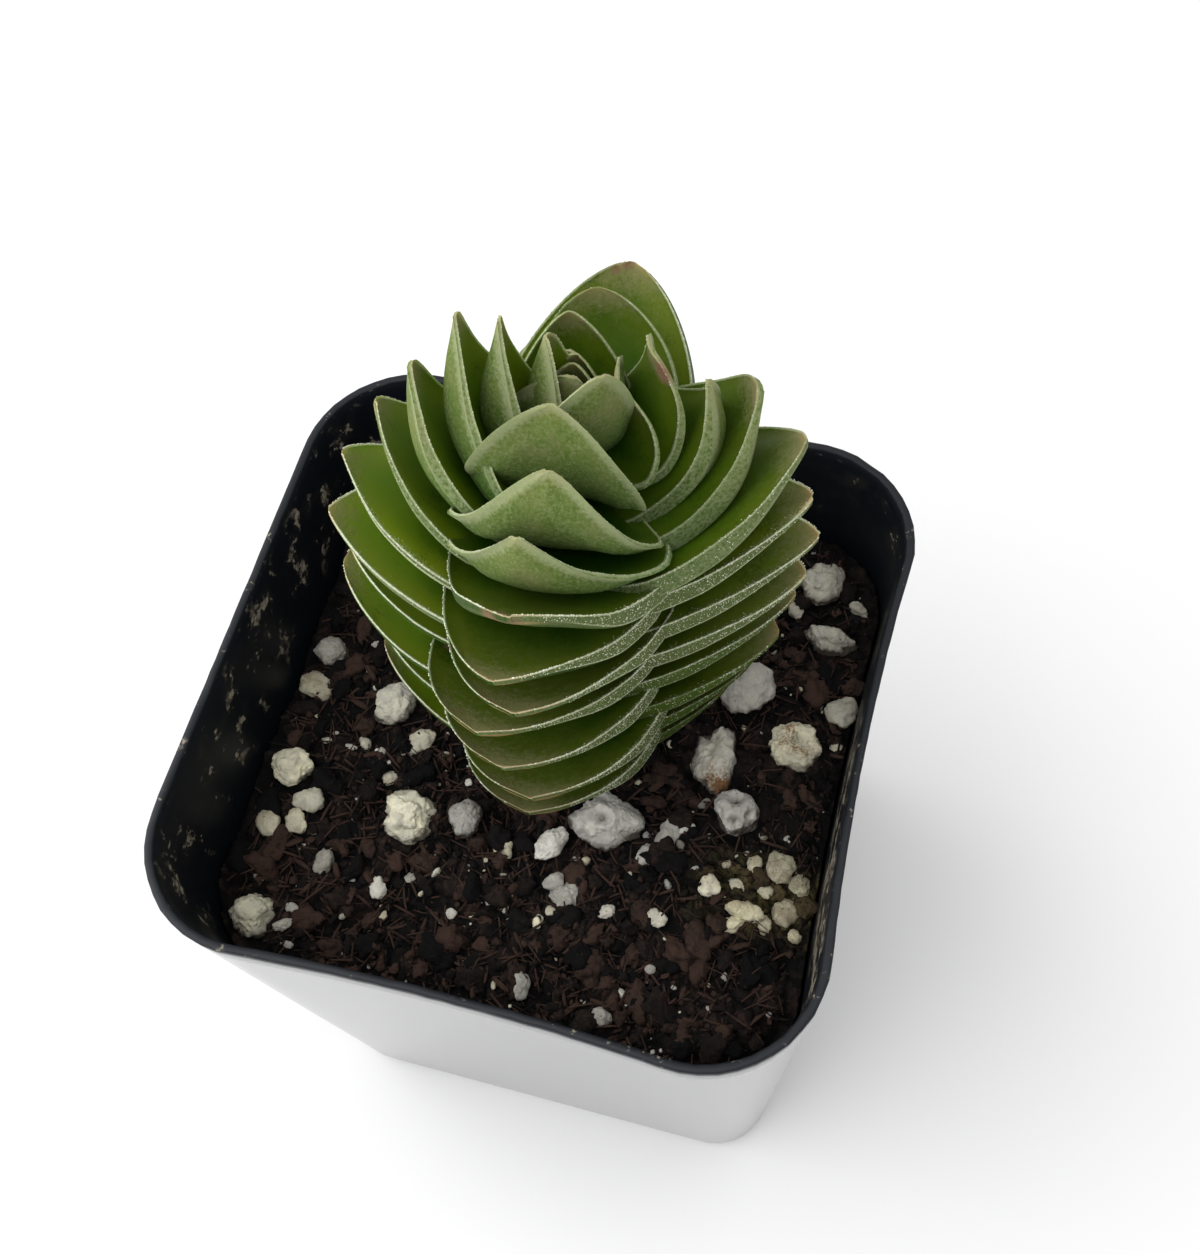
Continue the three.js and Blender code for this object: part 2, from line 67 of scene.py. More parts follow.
# Leaves grow in opposite pairs, each pair a quarter turn from the pair below it
PAIR_COUNT = 24
PAIR_SIDES = (("right", "left"), ("back", "front"))
LOWEST_PAIR_HEIGHT = 55
PAIR_SPACING = 2.45
CROWDED_FROM_PAIR = 12
CROWN_HEIGHT = 9.5
RANK_TURN = 6.5
BELLY = 0.8
FOOT_RISE = 0.12
LEAF_FOOT = 0.12
TIP_HALF_WIDTH = 0.25
# Margins keep their full thickness to the first of these shares of the length and are thin from the second
THINNING = (0.6, 0.97)
# How straight down a leaf's underside hangs, by pair: 1 is plumb, 0 is square to the blade
PLUMB = [(0, 1), (12, 1), (16, 0.3), (23, 0.3)]
# Waves of a margin: how many radians fit into half the width, where they start, and how late they fade
WAVE_TURNS = 4.2
WAVE_START = 1.2
WAVE_FADING = 6
# How far a margin's lower edge lies inside its upper edge, by pair
UNDERCUT = {
    "right": [(16, 0), (20, 0.2)],
    "left": [(0, 0.18), (10, 0.18), (12, 0.1)],
    "front": [(13, 0), (15, 0.25)],
    "back": [(0, 0.3), (13, 0.3), (15, 0.1)],
}
# A margin's own thickness as a share of the thickness it has from MARGIN_REACH millimetres inwards
MARGIN_SHARE = {
    "right": [(0, 1), (16, 1), (18, 0.7), (22, 0.4)],
    "left": [(0, 0.35), (10, 0.35), (12, 0.35), (14, 0.5), (16, 0.6), (18, 0.35)],
    "front": [(0, 1), (11, 1), (13, 1.25), (15, 0.3), (23, 0.3)],
    "back": [(0, 0.8), (12, 0.8), (15, 0.4)],
}
MARGIN_REACH = 1.7
# How faint the pale lines are, by pair, in the ranks that have them faint
FAINT = {"right": [(4, 0.75), (8, 0)]}
# How olive the upper faces of a rank are; the less olive a rank, the more painted light shines through its
# leaves
OLIVE = {"right": 0.7, "left": 0.12, "front": 0.85, "back": 0.55}
# Which side of a leaf has the broad, speckled margin, how broad it is by pair, and how far its papillae
# spread onto the upper face beside it
BROAD_SIDE = {"right": -1, "left": 1, "front": 1, "back": -1}
BROAD = {
    "right": [(0, 0.35), (6, 0.6), (8, 1), (23, 1)],
    "left": [(9, 0), (12, 1)],
    "front": [(0, 1), (23, 1)],
    "back": [(0, 0.5), (12, 0)],
}
SPILLED = {"right": 1, "left": 0.3, "front": 1, "back": 0}
# Papillae to a millimetre: along a rim when old and when young, over a broad flank, and on the face beside it
RIM_BEADS = (9.5, 7)
FLANK_BEADS = 13
FACE_BEADS = 7
# The part of a leaf's length that bears papillae
BEADED_LENGTH = 0.7
# Cells of a leaf along it, across it and through its margin
BLADE_CELLS = (28, 24, 5)
# Healed damage: pair and rank, where on the leaf's upper face, and radius
SCARS = (
    (7, "front", 0.62, -0.84, 0.55),
    (7, "front", 0.93, -0.5, 0.35),
    (13, "front", 0.93, -0.5, 1.1),
    (13, "front", 0.95, 0.1, 0.9),
    (20, "right", 0.93, -0.7, 1.2),
    (13, "back", 0.99, 0.3, 0.7),
    (13, "back", 0.96, 0.6, 0.5),
)
# From the first of these pairs on the leaves turn downy, and from the second they are so all over
DOWNY_PAIRS = (12.2, 15)

# One rank of leaves on each side of the stem. Each line gives stations of pair number, from the lowest
# up, and value.
# reach: how far the tips stand from the stem. rise: how far they rise above their pair's node.
# turn_up: how far out the blade runs before it turns up, as a share of its reach.
# aspect: half-width as a share of the length. shoulder and taper: the higher the shoulder and the lower
# the taper, the rounder the outline. waist: width at the foot as a share of the full width, which is
# reached at widest. cup: how high the margins stand, as a share of the half-width.
# flank: thickness of the margins. roll: degrees about a level line through the tip. wave: millimetres,
# which fade out towards the tip.
RANKS = {
    "right": {
        "reach": [(0, 13.7), (4, 17.4), (6, 18.2), (10, 18.7), (14, 16.1), (18, 8.8), (20, 5.4), (22, 3.1)],
        "rise": [(0, 5.7), (8, 6), (10, 6.5), (12, 7.5), (14, 9.5), (18, 9.3), (20, 8.2), (22, 5.3)],
        "turn_up": [(0, 0.45), (10, 0.48), (12, 0.53), (14, 0.65), (16, 0.83), (18, 1.15), (22, 1.35)],
        "aspect": [(0, 0.475), (8, 0.475), (12, 0.5), (16, 0.51), (18, 0.6), (20, 0.48), (22, 0.8)],
        "shoulder": [(0, 2.2), (6, 1.9), (10, 1.4), (16, 1.4), (18, 1), (20, 1.6), (22, 3.9)],
        "taper": [(0, 0.65), (8, 0.72), (12, 0.76), (16, 0.63), (18, 0.95), (20, 0.42), (22, 0.42)],
        "waist": [(0, 0.74), (16, 0.74), (18, 0.95), (20, 0.6), (22, 0.6)],
        "widest": [(0, 0.38), (18, 0.38), (22, 0.5)],
        "cup": [(0, 0.34), (6, 0.34), (12, 0.07), (16, 0.07), (18, -0.05), (20, -0.2), (22, -0.25)],
        "flank": [(0, 1.7), (12, 1.9), (18, 1.9), (20, 1.1), (22, 0.7)],
        "roll": [(0, 0), (6, 0), (10, -3), (14, -10), (16, -5), (18, 3), (20, -6), (22, -12)],
        "wave": [(0, 0), (6, 0), (10, 0.5), (22, 0.45)],
    },
    "left": {
        "reach": [(0, 13.7), (2, 16.3), (6, 18.4), (8, 17.2), (10, 17.7), (12, 15.9), (20, 4.6), (22, 1.7)],
        "rise": [(0, 6), (8, 5.6), (10, 6.1), (12, 7.7), (16, 11.3), (18, 12.9), (20, 12.1), (22, 10.4)],
        "turn_up": [(0, 0.6), (10, 0.62), (12, 0.72), (16, 0.92), (22, 0.93)],
        "aspect": [(0, 0.56), (8, 0.5), (16, 0.49), (18, 0.53), (20, 0.39), (22, 0.4)],
        "shoulder": [(0, 2.6), (8, 2.3), (12, 1.63), (14, 1.6), (16, 1.2), (22, 1.2)],
        "taper": [(0, 0.67), (8, 0.68), (10, 0.84), (16, 0.78), (18, 0.95), (20, 0.95), (22, 0.65)],
        "waist": [(0, 0.74), (22, 0.74)],
        "widest": [(0, 0.38), (22, 0.38)],
        "cup": [(0, 0.25), (8, 0.28), (10, 0.1), (12, 0.02), (14, 0.05), (18, 0.22), (22, 0.5)],
        "flank": [(0, 0.9), (10, 1), (12, 1.5), (16, 1.4), (20, 1.6), (22, 1.1)],
        "roll": [(0, 0), (8, 0), (10, 6), (12, 11), (16, 11.5), (20, 8), (22, 1)],
        "wave": [(0, -0.2), (14, -0.1), (16, 0), (18, -0.5), (22, -0.3)],
    },
    "front": {
        "reach": [
            (1, 15.4), (3, 16.4), (9, 17), (11, 17.6), (13, 15.5), (17, 8.7), (19, 4.8), (21, 3.6), (23, 1),
        ],
        "rise": [(1, 5.5), (5, 6.5), (9, 7.4), (11, 7.9), (15, 10.3), (17, 11), (21, 11), (23, 8)],
        "turn_up": [(1, 0.52), (9, 0.45), (11, 0.57), (13, 0.68), (15, 1.09), (17, 1.3), (19, 1.3), (21, 0.9)],
        "aspect": [(1, 0.52), (5, 0.48), (9, 0.48), (11, 0.43), (13, 0.46), (15, 0.59), (17, 0.64), (21, 0.5)],
        "shoulder": [(1, 3), (5, 2.9), (9, 2.3), (13, 2.3), (15, 1.66), (17, 1.5), (19, 3.2), (21, 2.2)],
        "taper": [(1, 0.42), (7, 0.42), (9, 0.46), (11, 0.64), (13, 0.64), (15, 0.94), (17, 0.76), (21, 0.72)],
        "waist": [(1, 0.74), (13, 0.74), (15, 0.6), (17, 0.35), (19, 0.34), (21, 0.5)],
        "widest": [(1, 0.38), (15, 0.42), (17, 0.47), (19, 0.68), (21, 0.53)],
        "cup": [(1, 0.3), (9, 0.3), (11, 0.24), (13, 0.16), (15, 0.12), (17, 0.03), (19, -0.2), (21, 0.1)],
        "flank": [(1, 1.6), (11, 1.8), (13, 1.4), (15, 0.9), (19, 0.8), (23, 0.7)],
        "roll": [(1, 8), (13, 9), (15, 8.5), (17, 1.5), (19, 5), (21, -10)],
        "wave": [(1, 0), (9, 0.25), (11, 0.22), (13, 0.67), (15, 0), (17, 0.65), (19, 0.25), (23, 0.25)],
    },
    "back": {
        "reach": [(1, 14.8), (9, 16), (13, 15.7), (15, 11), (17, 6.6), (19, 3.3), (23, 0.8)],
        "rise": [(1, 5.7), (5, 6.3), (9, 7.1), (13, 9.4), (15, 8.4), (17, 8.3), (19, 6.6), (23, 7)],
        "turn_up": [(1, 0.52), (11, 0.55), (13, 0.64), (15, 0.8), (23, 0.8)],
        "aspect": [(1, 0.48), (11, 0.46), (13, 0.4), (15, 0.42), (23, 0.42)],
        "shoulder": [(1, 2.5), (11, 2.5), (13, 2.7), (15, 3), (23, 2.8)],
        "taper": [(1, 0.55), (11, 0.6), (13, 0.65), (15, 0.6), (17, 0.7)],
        "waist": [(1, 0.74), (23, 0.74)],
        "widest": [(1, 0.38), (23, 0.38)],
        "cup": [(1, 0.3), (13, 0.34), (15, 0.26), (17, 0.47), (23, 0.48)],
        "flank": [(1, 1.6), (13, 1.3), (15, 0.9), (23, 0.7)],
        "roll": [(1, 0), (11, 0), (13, -3), (15, -14), (17, -3), (23, 0)],
        "wave": [(1, 0), (11, 0), (13, 0.2), (15, 0.2), (23, 0)],
    },
}

# Leaves that sit out of line with their rank, in degrees, by pair number
SWINGS = {
    "right": {6: 3, 12: -2, 14: 1, 16: 11, 18: 4, 20: 28, 22: 24},
    "left": {2: 9, 6: 3, 8: 5, 10: 10, 12: 9, 14: 6, 16: 7, 18: -2},
    "front": {1: -5, 3: -2, 5: -9, 7: -14, 9: -3, 11: -7, 13: -5, 15: -7, 19: -6, 21: 38},
    "back": {13: -8.5, 15: -1.5, 17: 10, 19: 15},
}

# Soil
SOIL_LEVEL = 52
SOIL_RELIEF = 0.5
HOLLOW_DEPTH = 1.7
HOLLOW_RADIUS = 16
SEAT_GAP = 0.3
# Clods of the surface: size and how much they stand out
CLOD_SIZES = ((3.1, 0.65), (1.35, 0.35))
# Cells along each side of the bed's surface
BED_CELLS = 280
# Levels at which the bed's sides are measured against the pot, below its surface
BED_LEVELS = (44, 22)
STEM_HOLE_DEPTH = 14
# Where loose bits may lie: half the bed's width, where its corners begin and how round they are, and how far
# from the middle of the stem
STREWN_HALF = 25.5
STREWN_CORNER = 17.5
STREWN_ROUNDING = 8.0
STREWN_FROM_STEM = 5.2
# One bark fibre in so many is a flat flake
FLAKE_EVERY = 9
# Waves round a stone, in radians to its radius
STONE_WAVES = (2.6, 3.1, 2.9)
# Loose bits: how clear of the stones they lie, their smallest size and its spread, how rare the large ones
# are, what share of one sinks in, and how uneven it is
CLOD = {
    "clear": 1.1, "smallest": 0.9, "spread": 1.7, "rarity": 2, "sunk": 0.35, "roughness": 0.14, "lumps": 0.5,
}
CRUMB = {"clear": 0.95, "smallest": 0.2, "spread": 0.6, "rarity": 2.5, "sunk": 0.25, "roughness": 0.22}
GRAIN = {
    "clear": 1.2, "smallest": 0.2, "spread": 0.7, "rarity": 2.6, "sunk": 0.3, "roughness": 0.12, "lumps": 0.1,
}
PEBBLE = {"sunk": 0.28, "roughness": 0.1, "lumps": 0.22}

# Pumice chunks: place of the middle, length, width, height, turn in degrees, how warm their colour is
# from white to yellow, and how much soil clings to them
CHUNKS = {
    "round": (6.2, -6.0, 6.0, 5.0, 4.0, 15, 0.05, 0.12),
    "pebble": (1.9, -9.4, 3.6, 2.3, 2.2, 60, 0.05, 0.05),
    "pitted": (17.6, -2.9, 4.5, 4.1, 3.6, 60, 0.0, 0.45),
    "long": (14.5, 2.0, 6.9, 3.6, 3.6, 100, 0.25, 0.3),
    "shaded": (16.0, 9.1, 5.2, 4.5, 3.8, 150, 0.1, 0.45),
    "flat": (21.6, 4.2, 5.9, 3.9, 3.2, 5, 0.7, 0.3),
    "double": (-11.3, -10.4, 5.4, 4.2, 3.4, 0, 0.55, 0.02),
    "side": (-6.2, -9.3, 3.2, 2.9, 2.6, 15, 0.0, 0.75),
    "yellow": (-23.6, -8.5, 4.4, 3.4, 3.0, 10, 0.7, 0.08),
    "corner": (-22.0, -22.6, 4.4, 3.8, 3.2, 20, 0.6, 0.3),
    "pale": (-16.1, 0.1, 4.3, 3.8, 3.4, 60, 0.35, 0.3),
    "far_left": (-24.0, 3.9, 3.3, 3.0, 2.8, 20, 0.2, 0.7),
    "far_right": (22.5, 15.9, 5.0, 2.8, 2.6, 170, 0.3, 0.5),
    "back_right": (20.6, 21.6, 4.4, 3.6, 3.0, 60, 0.3, 0.5),
}
CHUNK_SINK = 0.38
CHUNK_ROUGHNESS = 0.1
# Hollows in the chunks: the way they face, how wide they are and how deep, as shares of the radius
DENTS = {
    "round": (((-0.1, -0.15, 1), 0.3, 0.6), ((-0.8, 0.4, 0.5), 0.35, 0.12)),
    "pitted": (((0.3, 0.2, 1), 0.3, 0.5), ((-0.5, -0.4, 0.7), 0.25, 0.3), ((0.1, -0.6, 0.7), 0.2, 0.25)),
    "long": (((0.1, 0.2, 1), 0.35, 0.16), ((0.6, -0.1, 0.7), 0.3, 0.12)),
    "flat": (((0.0, 0.2, 1), 0.45, 0.3),),
    "double": (((0.1, 0.7, 0.7), 0.35, 0.35), ((0.1, -0.8, 0.5), 0.3, 0.25)),
}
# Rusty spots of the chunks: the way they face
RUST = {"long": (-0.9, -0.2, 0.5), "flat": (0.1, 0.2, 1)}
# What each point of a stone knows: how warm its colour is, how low it lies at its foot and how deep in a hollow
# (painted shade in the hollows), how dirty and how rusty it is
PUMICE_MARKS = ("warm", "low", "dirty", "rusty")
# Smaller stones: place, size, how warm and how dirty
PEBBLES = (
    (16.9, -10.2, 2.2, 0.55, 0.1), (19.1, -9.2, 1.6, 0.6, 0.3), (20.4, -11.6, 2.4, 0.95, 0.4),
    (22.6, -7.2, 2.2, 0.85, 0.75), (23.8, -10.6, 2.8, 0.9, 0.6), (24.6, -8.2, 1.8, 0.85, 0.75),
    (21.7, -9.4, 1.5, 0.8, 0.7), (4.6, -13.7, 2.6, 0.05, 0.65), (3.2, -13.0, 1.7, 0.1, 0.6),
    (10.9, -8.5, 2.0, 0.1, 0.5), (12.2, -6.2, 2.2, 0.05, 0.6), (13.6, -5.3, 1.2, 0.0, 0.1),
    (13.0, -14.1, 1.6, 0.35, 0.2), (8.6, -14.6, 1.1, 0.2, 0.3), (-2.3, -10.8, 1.6, 0.75, 0.3),
    (-12.1, -17.3, 1.6, 0.15, 0.15), (-4.8, -18.0, 1.1, 0.1, 0.3), (3.1, -22.7, 1.9, 0.1, 0.6),
    (10.5, -23.5, 1.6, 0.1, 0.65), (-23.9, -14.2, 2.4, 0.7, 0.45), (-21.5, -13.3, 2.1, 0.7, 0.5),
    (-17.6, -16.4, 2.2, 0.2, 0.7), (-21.0, -10.9, 2.6, 0.45, 0.5), (-12.9, -2.8, 1.9, 0.6, 0.4),
    (-24.4, 0.4, 2.6, 0.75, 0.6), (24.9, 8.6, 2.6, 0.35, 0.55), (-19.0, -22.8, 1.6, 0.2, 0.6),
    (-8.2, -13.6, 1.1, 0.3, 0.4), (24.6, 19.6, 1.8, 0.35, 0.5), (18.8, 18.6, 1.7, 0.4, 0.5),
    (20.3, -7.2, 1.3, 0.8, 0.5), (19.6, -12.9, 1.7, 0.95, 0.3), (22.3, -12.2, 1.3, 0.8, 0.4),
    (25.0, -12.6, 1.6, 0.9, 0.35), (17.9, -7.6, 0.9, 0.7, 0.5), (-14.6, -7.0, 1.4, 0.6, 0.6),
    (-17.8, -4.2, 1.2, 0.4, 0.6), (-9.6, -15.6, 0.9, 0.2, 0.5), (0.6, -17.2, 0.9, 0.1, 0.5),
)

# Pot: how far the middle of each side bows in at the rim, and the order of the sides
SIDE_BOW = {"back": 0, "left": 0, "front": 0.7, "right": 0.8}
SIDE_NAMES = ("back", "left", "front", "right")
RIGHT_ANGLE = math.pi / 2
# Largest corner of the pot's rounded square, as a share of its half-width
ROUNDEST = 0.8
# Steps round the wall, and round a hole
POT_STEPS = 160
HOLE_STEPS = 32
# Heights at which the outer and the inner face of the wall are measured
OUTER_LEVELS = (62, 56, 48, 40, 32, 24, 16, 8, 2.2)
INNER_LEVELS = (64, 58, 50, 40, 28, 16, 6)
# The rounded foot: how far inside the outline, and how high
FOOT_ROUNDING = ((-0.02, 1.1), (0.35, 0.35), (1.1, 0))
INNER_FOOT_ROUNDING = ((0.1, 1.2), (1.2, 0))
# The lip's rounding: how high it stands, and in how many steps
LIP_RISE = 0.2
LIP_STEPS = 6
# How deep and how wide the wear on the lip is
LIP_WEAR = (0.14, 0.002)

# Where the random draws of the leaves, the papillae, the loose bits and the chunks start
LEAF_SEED = 7
PAPILLA_SEED = 19
STREWN_SEED = 41
CHUNK_SEED = 11

# Camera: place, viewing direction, the direction to its right, and its lens
CAMERA_PLACE = Vector((0.026610, -0.046151, 0.177906))
CAMERA_RIGHT = Vector((0.96267731, 0.25949419, -0.07691011))
CAMERA_UP = Vector((-0.19934603, 0.87202845, 0.44702074))
CAMERA_AHEAD = Vector((-0.18306709, 0.415005, -0.89121114))
CAMERA_LENS = 41.855
CAMERA_SENSOR = 36
NEAREST_SEEN = 0.005

# Stage, in metres: half the floor's width, what the lights are turned to, and the width and place of each
FLOOR_HALF = 3
LIGHT_AIM = Vector((0, 0, 0.06))
KEY_LIGHT = (1.4, (-0.66, -0.2, 0.52))
FILL_LIGHT = (1.3, (0.1, -0.1, 1.1))


def colour(name, description, default):
    """A setting that is a colour"""
    return FloatVectorProperty(
        name=name, description=description, default=default, subtype="COLOR", size=3, min=0, max=1
    )


def length(name, description, default_mm):
    """A setting that is a length"""
    return FloatProperty(
        name=name, description=description, default=default_mm * MM, unit="LENGTH", subtype="DISTANCE", min=0,
        precision=5,
    )


def count(name, description, default):
    """A setting that is a number of small things"""
    return IntProperty(name=name, description=description, default=default, min=0, max=9000)


def amount(name, description, default, unit="NONE"):
    """A setting that is a plain number or a power"""
    return FloatProperty(name=name, description=description, default=default, unit=unit, min=0)


class PotSettings(PropertyGroup):
    """Sizes and colours of the nursery pot"""

    height: length("Height", "Height of the pot", 66)
    rim_half: length("Rim half-width", "Half the width across the rim", 28.5)
    base_half: length("Base half-width", "Half the width across the base", 25.1)
    rim_corner: length("Rim corner", "Corner radius at the rim", 10.1)
    base_corner: length("Base corner", "Corner radius at the base", 6)
    wall: length("Wall", "Thickness of the wall", 0.9)
    floor: length("Floor", "Thickness of the base", 1.2)
    lip: length("Lip", "Thickness of the rim's lip", 0.75)
    drain_radius: length("Drain hole", "Radius of the drain holes", 1.9)
    drain_offset: length("Drain place", "How far out the drain holes lie", 17)
    plastic: colour("Plastic", "Colour of the moulded plastic", (0.0035, 0.005, 0.008))
    damp: colour("Damp dirt", "Colour of damp soil on the wall", (0.09, 0.075, 0.055))
    # The dirt colour also paints the pale nicks along the lip, which are partly painted glints
    dirt: colour("Dirt", "Colour of dried soil on the wall", (0.38, 0.33, 0.25))


class SoilSettings(PropertyGroup):
    """Grain and colours of the potting soil"""

    clods: count("Clods", "Number of ragged clods", 620)
    crumbs: count("Crumbs", "Number of loose crumbs", 3600)
    fibres: count("Fibres", "Number of bark fibres", 3000)
    grit: count("Grit", "Number of pale grains", 420)
    relief: length("Relief", "Height of the small lumps in the surface", 0.75)
    peat: colour("Peat", "Darkest soil", (0.0028, 0.0022, 0.0023))
    bark: colour("Bark", "Reddish bark", (0.048, 0.027, 0.020))
    umber: colour("Umber", "Greyish brown soil", (0.012, 0.0085, 0.0072))
    moss: colour("Moss", "Greenish yellow bits", (0.10, 0.085, 0.03))
    grain: colour("Grain", "Pale grains", (0.30, 0.27, 0.22))


class PumiceSettings(PropertyGroup):
    """Finish of the pumice chunks"""

    lumps: amount("Lumps", "Unevenness as a share of the radius", 0.2)
    white: colour("White", "Clean pumice", (0.75, 0.73, 0.67))
    cream: colour("Cream", "Weathered pumice", (0.95, 0.89, 0.60))
    ash: colour("Ash", "Grey patches", (0.24, 0.235, 0.21))
    rust: colour("Rust", "Rusty spots", (0.30, 0.15, 0.06))
    # The stain colour also paints shade in the pits and hollows
    stain_and_shade: colour("Stain", "Soil clinging to the stone", (0.040, 0.030, 0.022))


class LeafSettings(PropertyGroup):
    """Thickness and colours of the leaves"""

    tip: length("Tip", "Thickness at the leaf's tip", 0.55)
    ripple: length("Ripple", "Uneven waves along the margins", 0.22)
    ridge: length("Ridge", "Height of the ridge along the margins", 0.03)
    bead: length("Papilla", "Radius of the largest papillae", 0.08)
    # Deep green near the stem is darkened past the leaf's own colour: painted shade in the crown
    deep: colour("Deep green", "Upper face near the stem", (0.009, 0.041, 0.0005))
    fresh: colour("Fresh green", "Upper face further out", (0.040, 0.098, 0.002))
    # Painted light: the bright green of leaves that the light shines through
    painted_light_green: colour("Lush green", "Upper face of the leaves that the light shines through", (0.16, 0.29, 0.004))
    # Partly painted light: the thin margins glow brighter on the lit ranks
    glow: colour("Yellow green", "Thin skin along the margins", (0.22, 0.27, 0.010))
    ripe: colour("Olive", "Upper face near the tip", (0.086, 0.116, 0.010))
    dusk: colour("Dusky tan", "Downy skin at the very tip", (0.25, 0.225, 0.11))
    tan: colour("Tan", "Dried margin", (0.50, 0.30, 0.14))
    leafy: colour("Young green", "Outer face of the young leaves near the stem", (0.034, 0.095, 0.006))
    velvet: colour("Velvet", "Downy outer face of the young leaves", (0.132, 0.182, 0.040))
    bloom: colour("Bloom", "Pale down along the young margins", (0.36, 0.39, 0.22))
    outer: colour("Outer", "Outer face of the older leaves", (0.028, 0.062, 0.006))
    band: colour("Band", "Broad margins", (0.165, 0.20, 0.080))
    rim: colour("Rim", "Pale line along the margins", (0.62, 0.66, 0.44))
    down: colour("Down", "White papillae", (0.80, 0.83, 0.68))
    scar: colour("Scar", "Healed damage", (0.22, 0.13, 0.08))


class StageSettings(PropertyGroup):
    """Floor and lights"""

    floor: colour("Floor", "Colour of the floor", (0.86, 0.86, 0.86))
    key: amount("Key light", "Power of the soft key light", 10.3, "POWER")
    fill: amount("Fill light", "Power of the overhead fill", 5.05, "POWER")
    ambient: amount("Ambient", "Strength of the surroundings", 0.62)


def lerp(low, high, share):
    """The value a share of the way from low to high"""
    return low + (high - low) * share


def smooth(value, low, high):
    """0 at low and 1 at high, easing in between; low may be above high"""
    share = min(max((value - low) / (high - low), 0), 1)
    return share * share * (3 - 2 * share)


def along(stations, position):
    """Reads a profile of (position, value) stations"""
    last = len(stations) - 1
    i = 0
    while i < last - 1 and position > stations[i + 1][0]:
        i += 1
    (x0, y0), (x1, y1) = stations[i], stations[i + 1]
    return lerp(y0, y1, min(max((position - x0) / (x1 - x0), 0), 1))


def draws(seed):
    """A repeatable source of numbers from 0 to 1, the same as the solids use"""
    state = seed
    while True:
        state = (state * 1664525 + 1013904223) % 4294967296
        yield state / 4294967296


# Materials


class Signal:
    """A number socket on which Python's operators add Math nodes"""

    def __init__(self, shader, socket):
        self.shader = shader
        self.socket = socket

    def math(self, operation, *values, clamp=False):
        settings = {"operation": operation, "use_clamp": clamp}
        made = self.shader.node("ShaderNodeMath", settings, dict(enumerate(values)))
        return Signal(self.shader, made.outputs[0])

    def __add__(self, other):
        return self.math("ADD", self, other)

    def __sub__(self, other):
        return self.math("SUBTRACT", self, other)

    def __rsub__(self, other):
        return self.math("SUBTRACT", other, self)

    def __mul__(self, other):
        return self.math("MULTIPLY", self, other)

    __radd__ = __add__
    __rmul__ = __mul__

    def clamped(self):
        return self.math("ADD", self, 0, clamp=True)

    def between(self, low, high):
        """0 at low and 1 at high, easing in between; low may be above high"""
        flip = low > high
        first, last = (high, low) if flip else (low, high)
        settings = {"interpolation_type": "SMOOTHSTEP"}
        values = {"Value": self, "From Min": first, "From Max": last}
        made = self.shader.node("ShaderNodeMapRange", settings, values)
        eased = Signal(self.shader, made.outputs[0])
        return 1 - eased if flip else eased


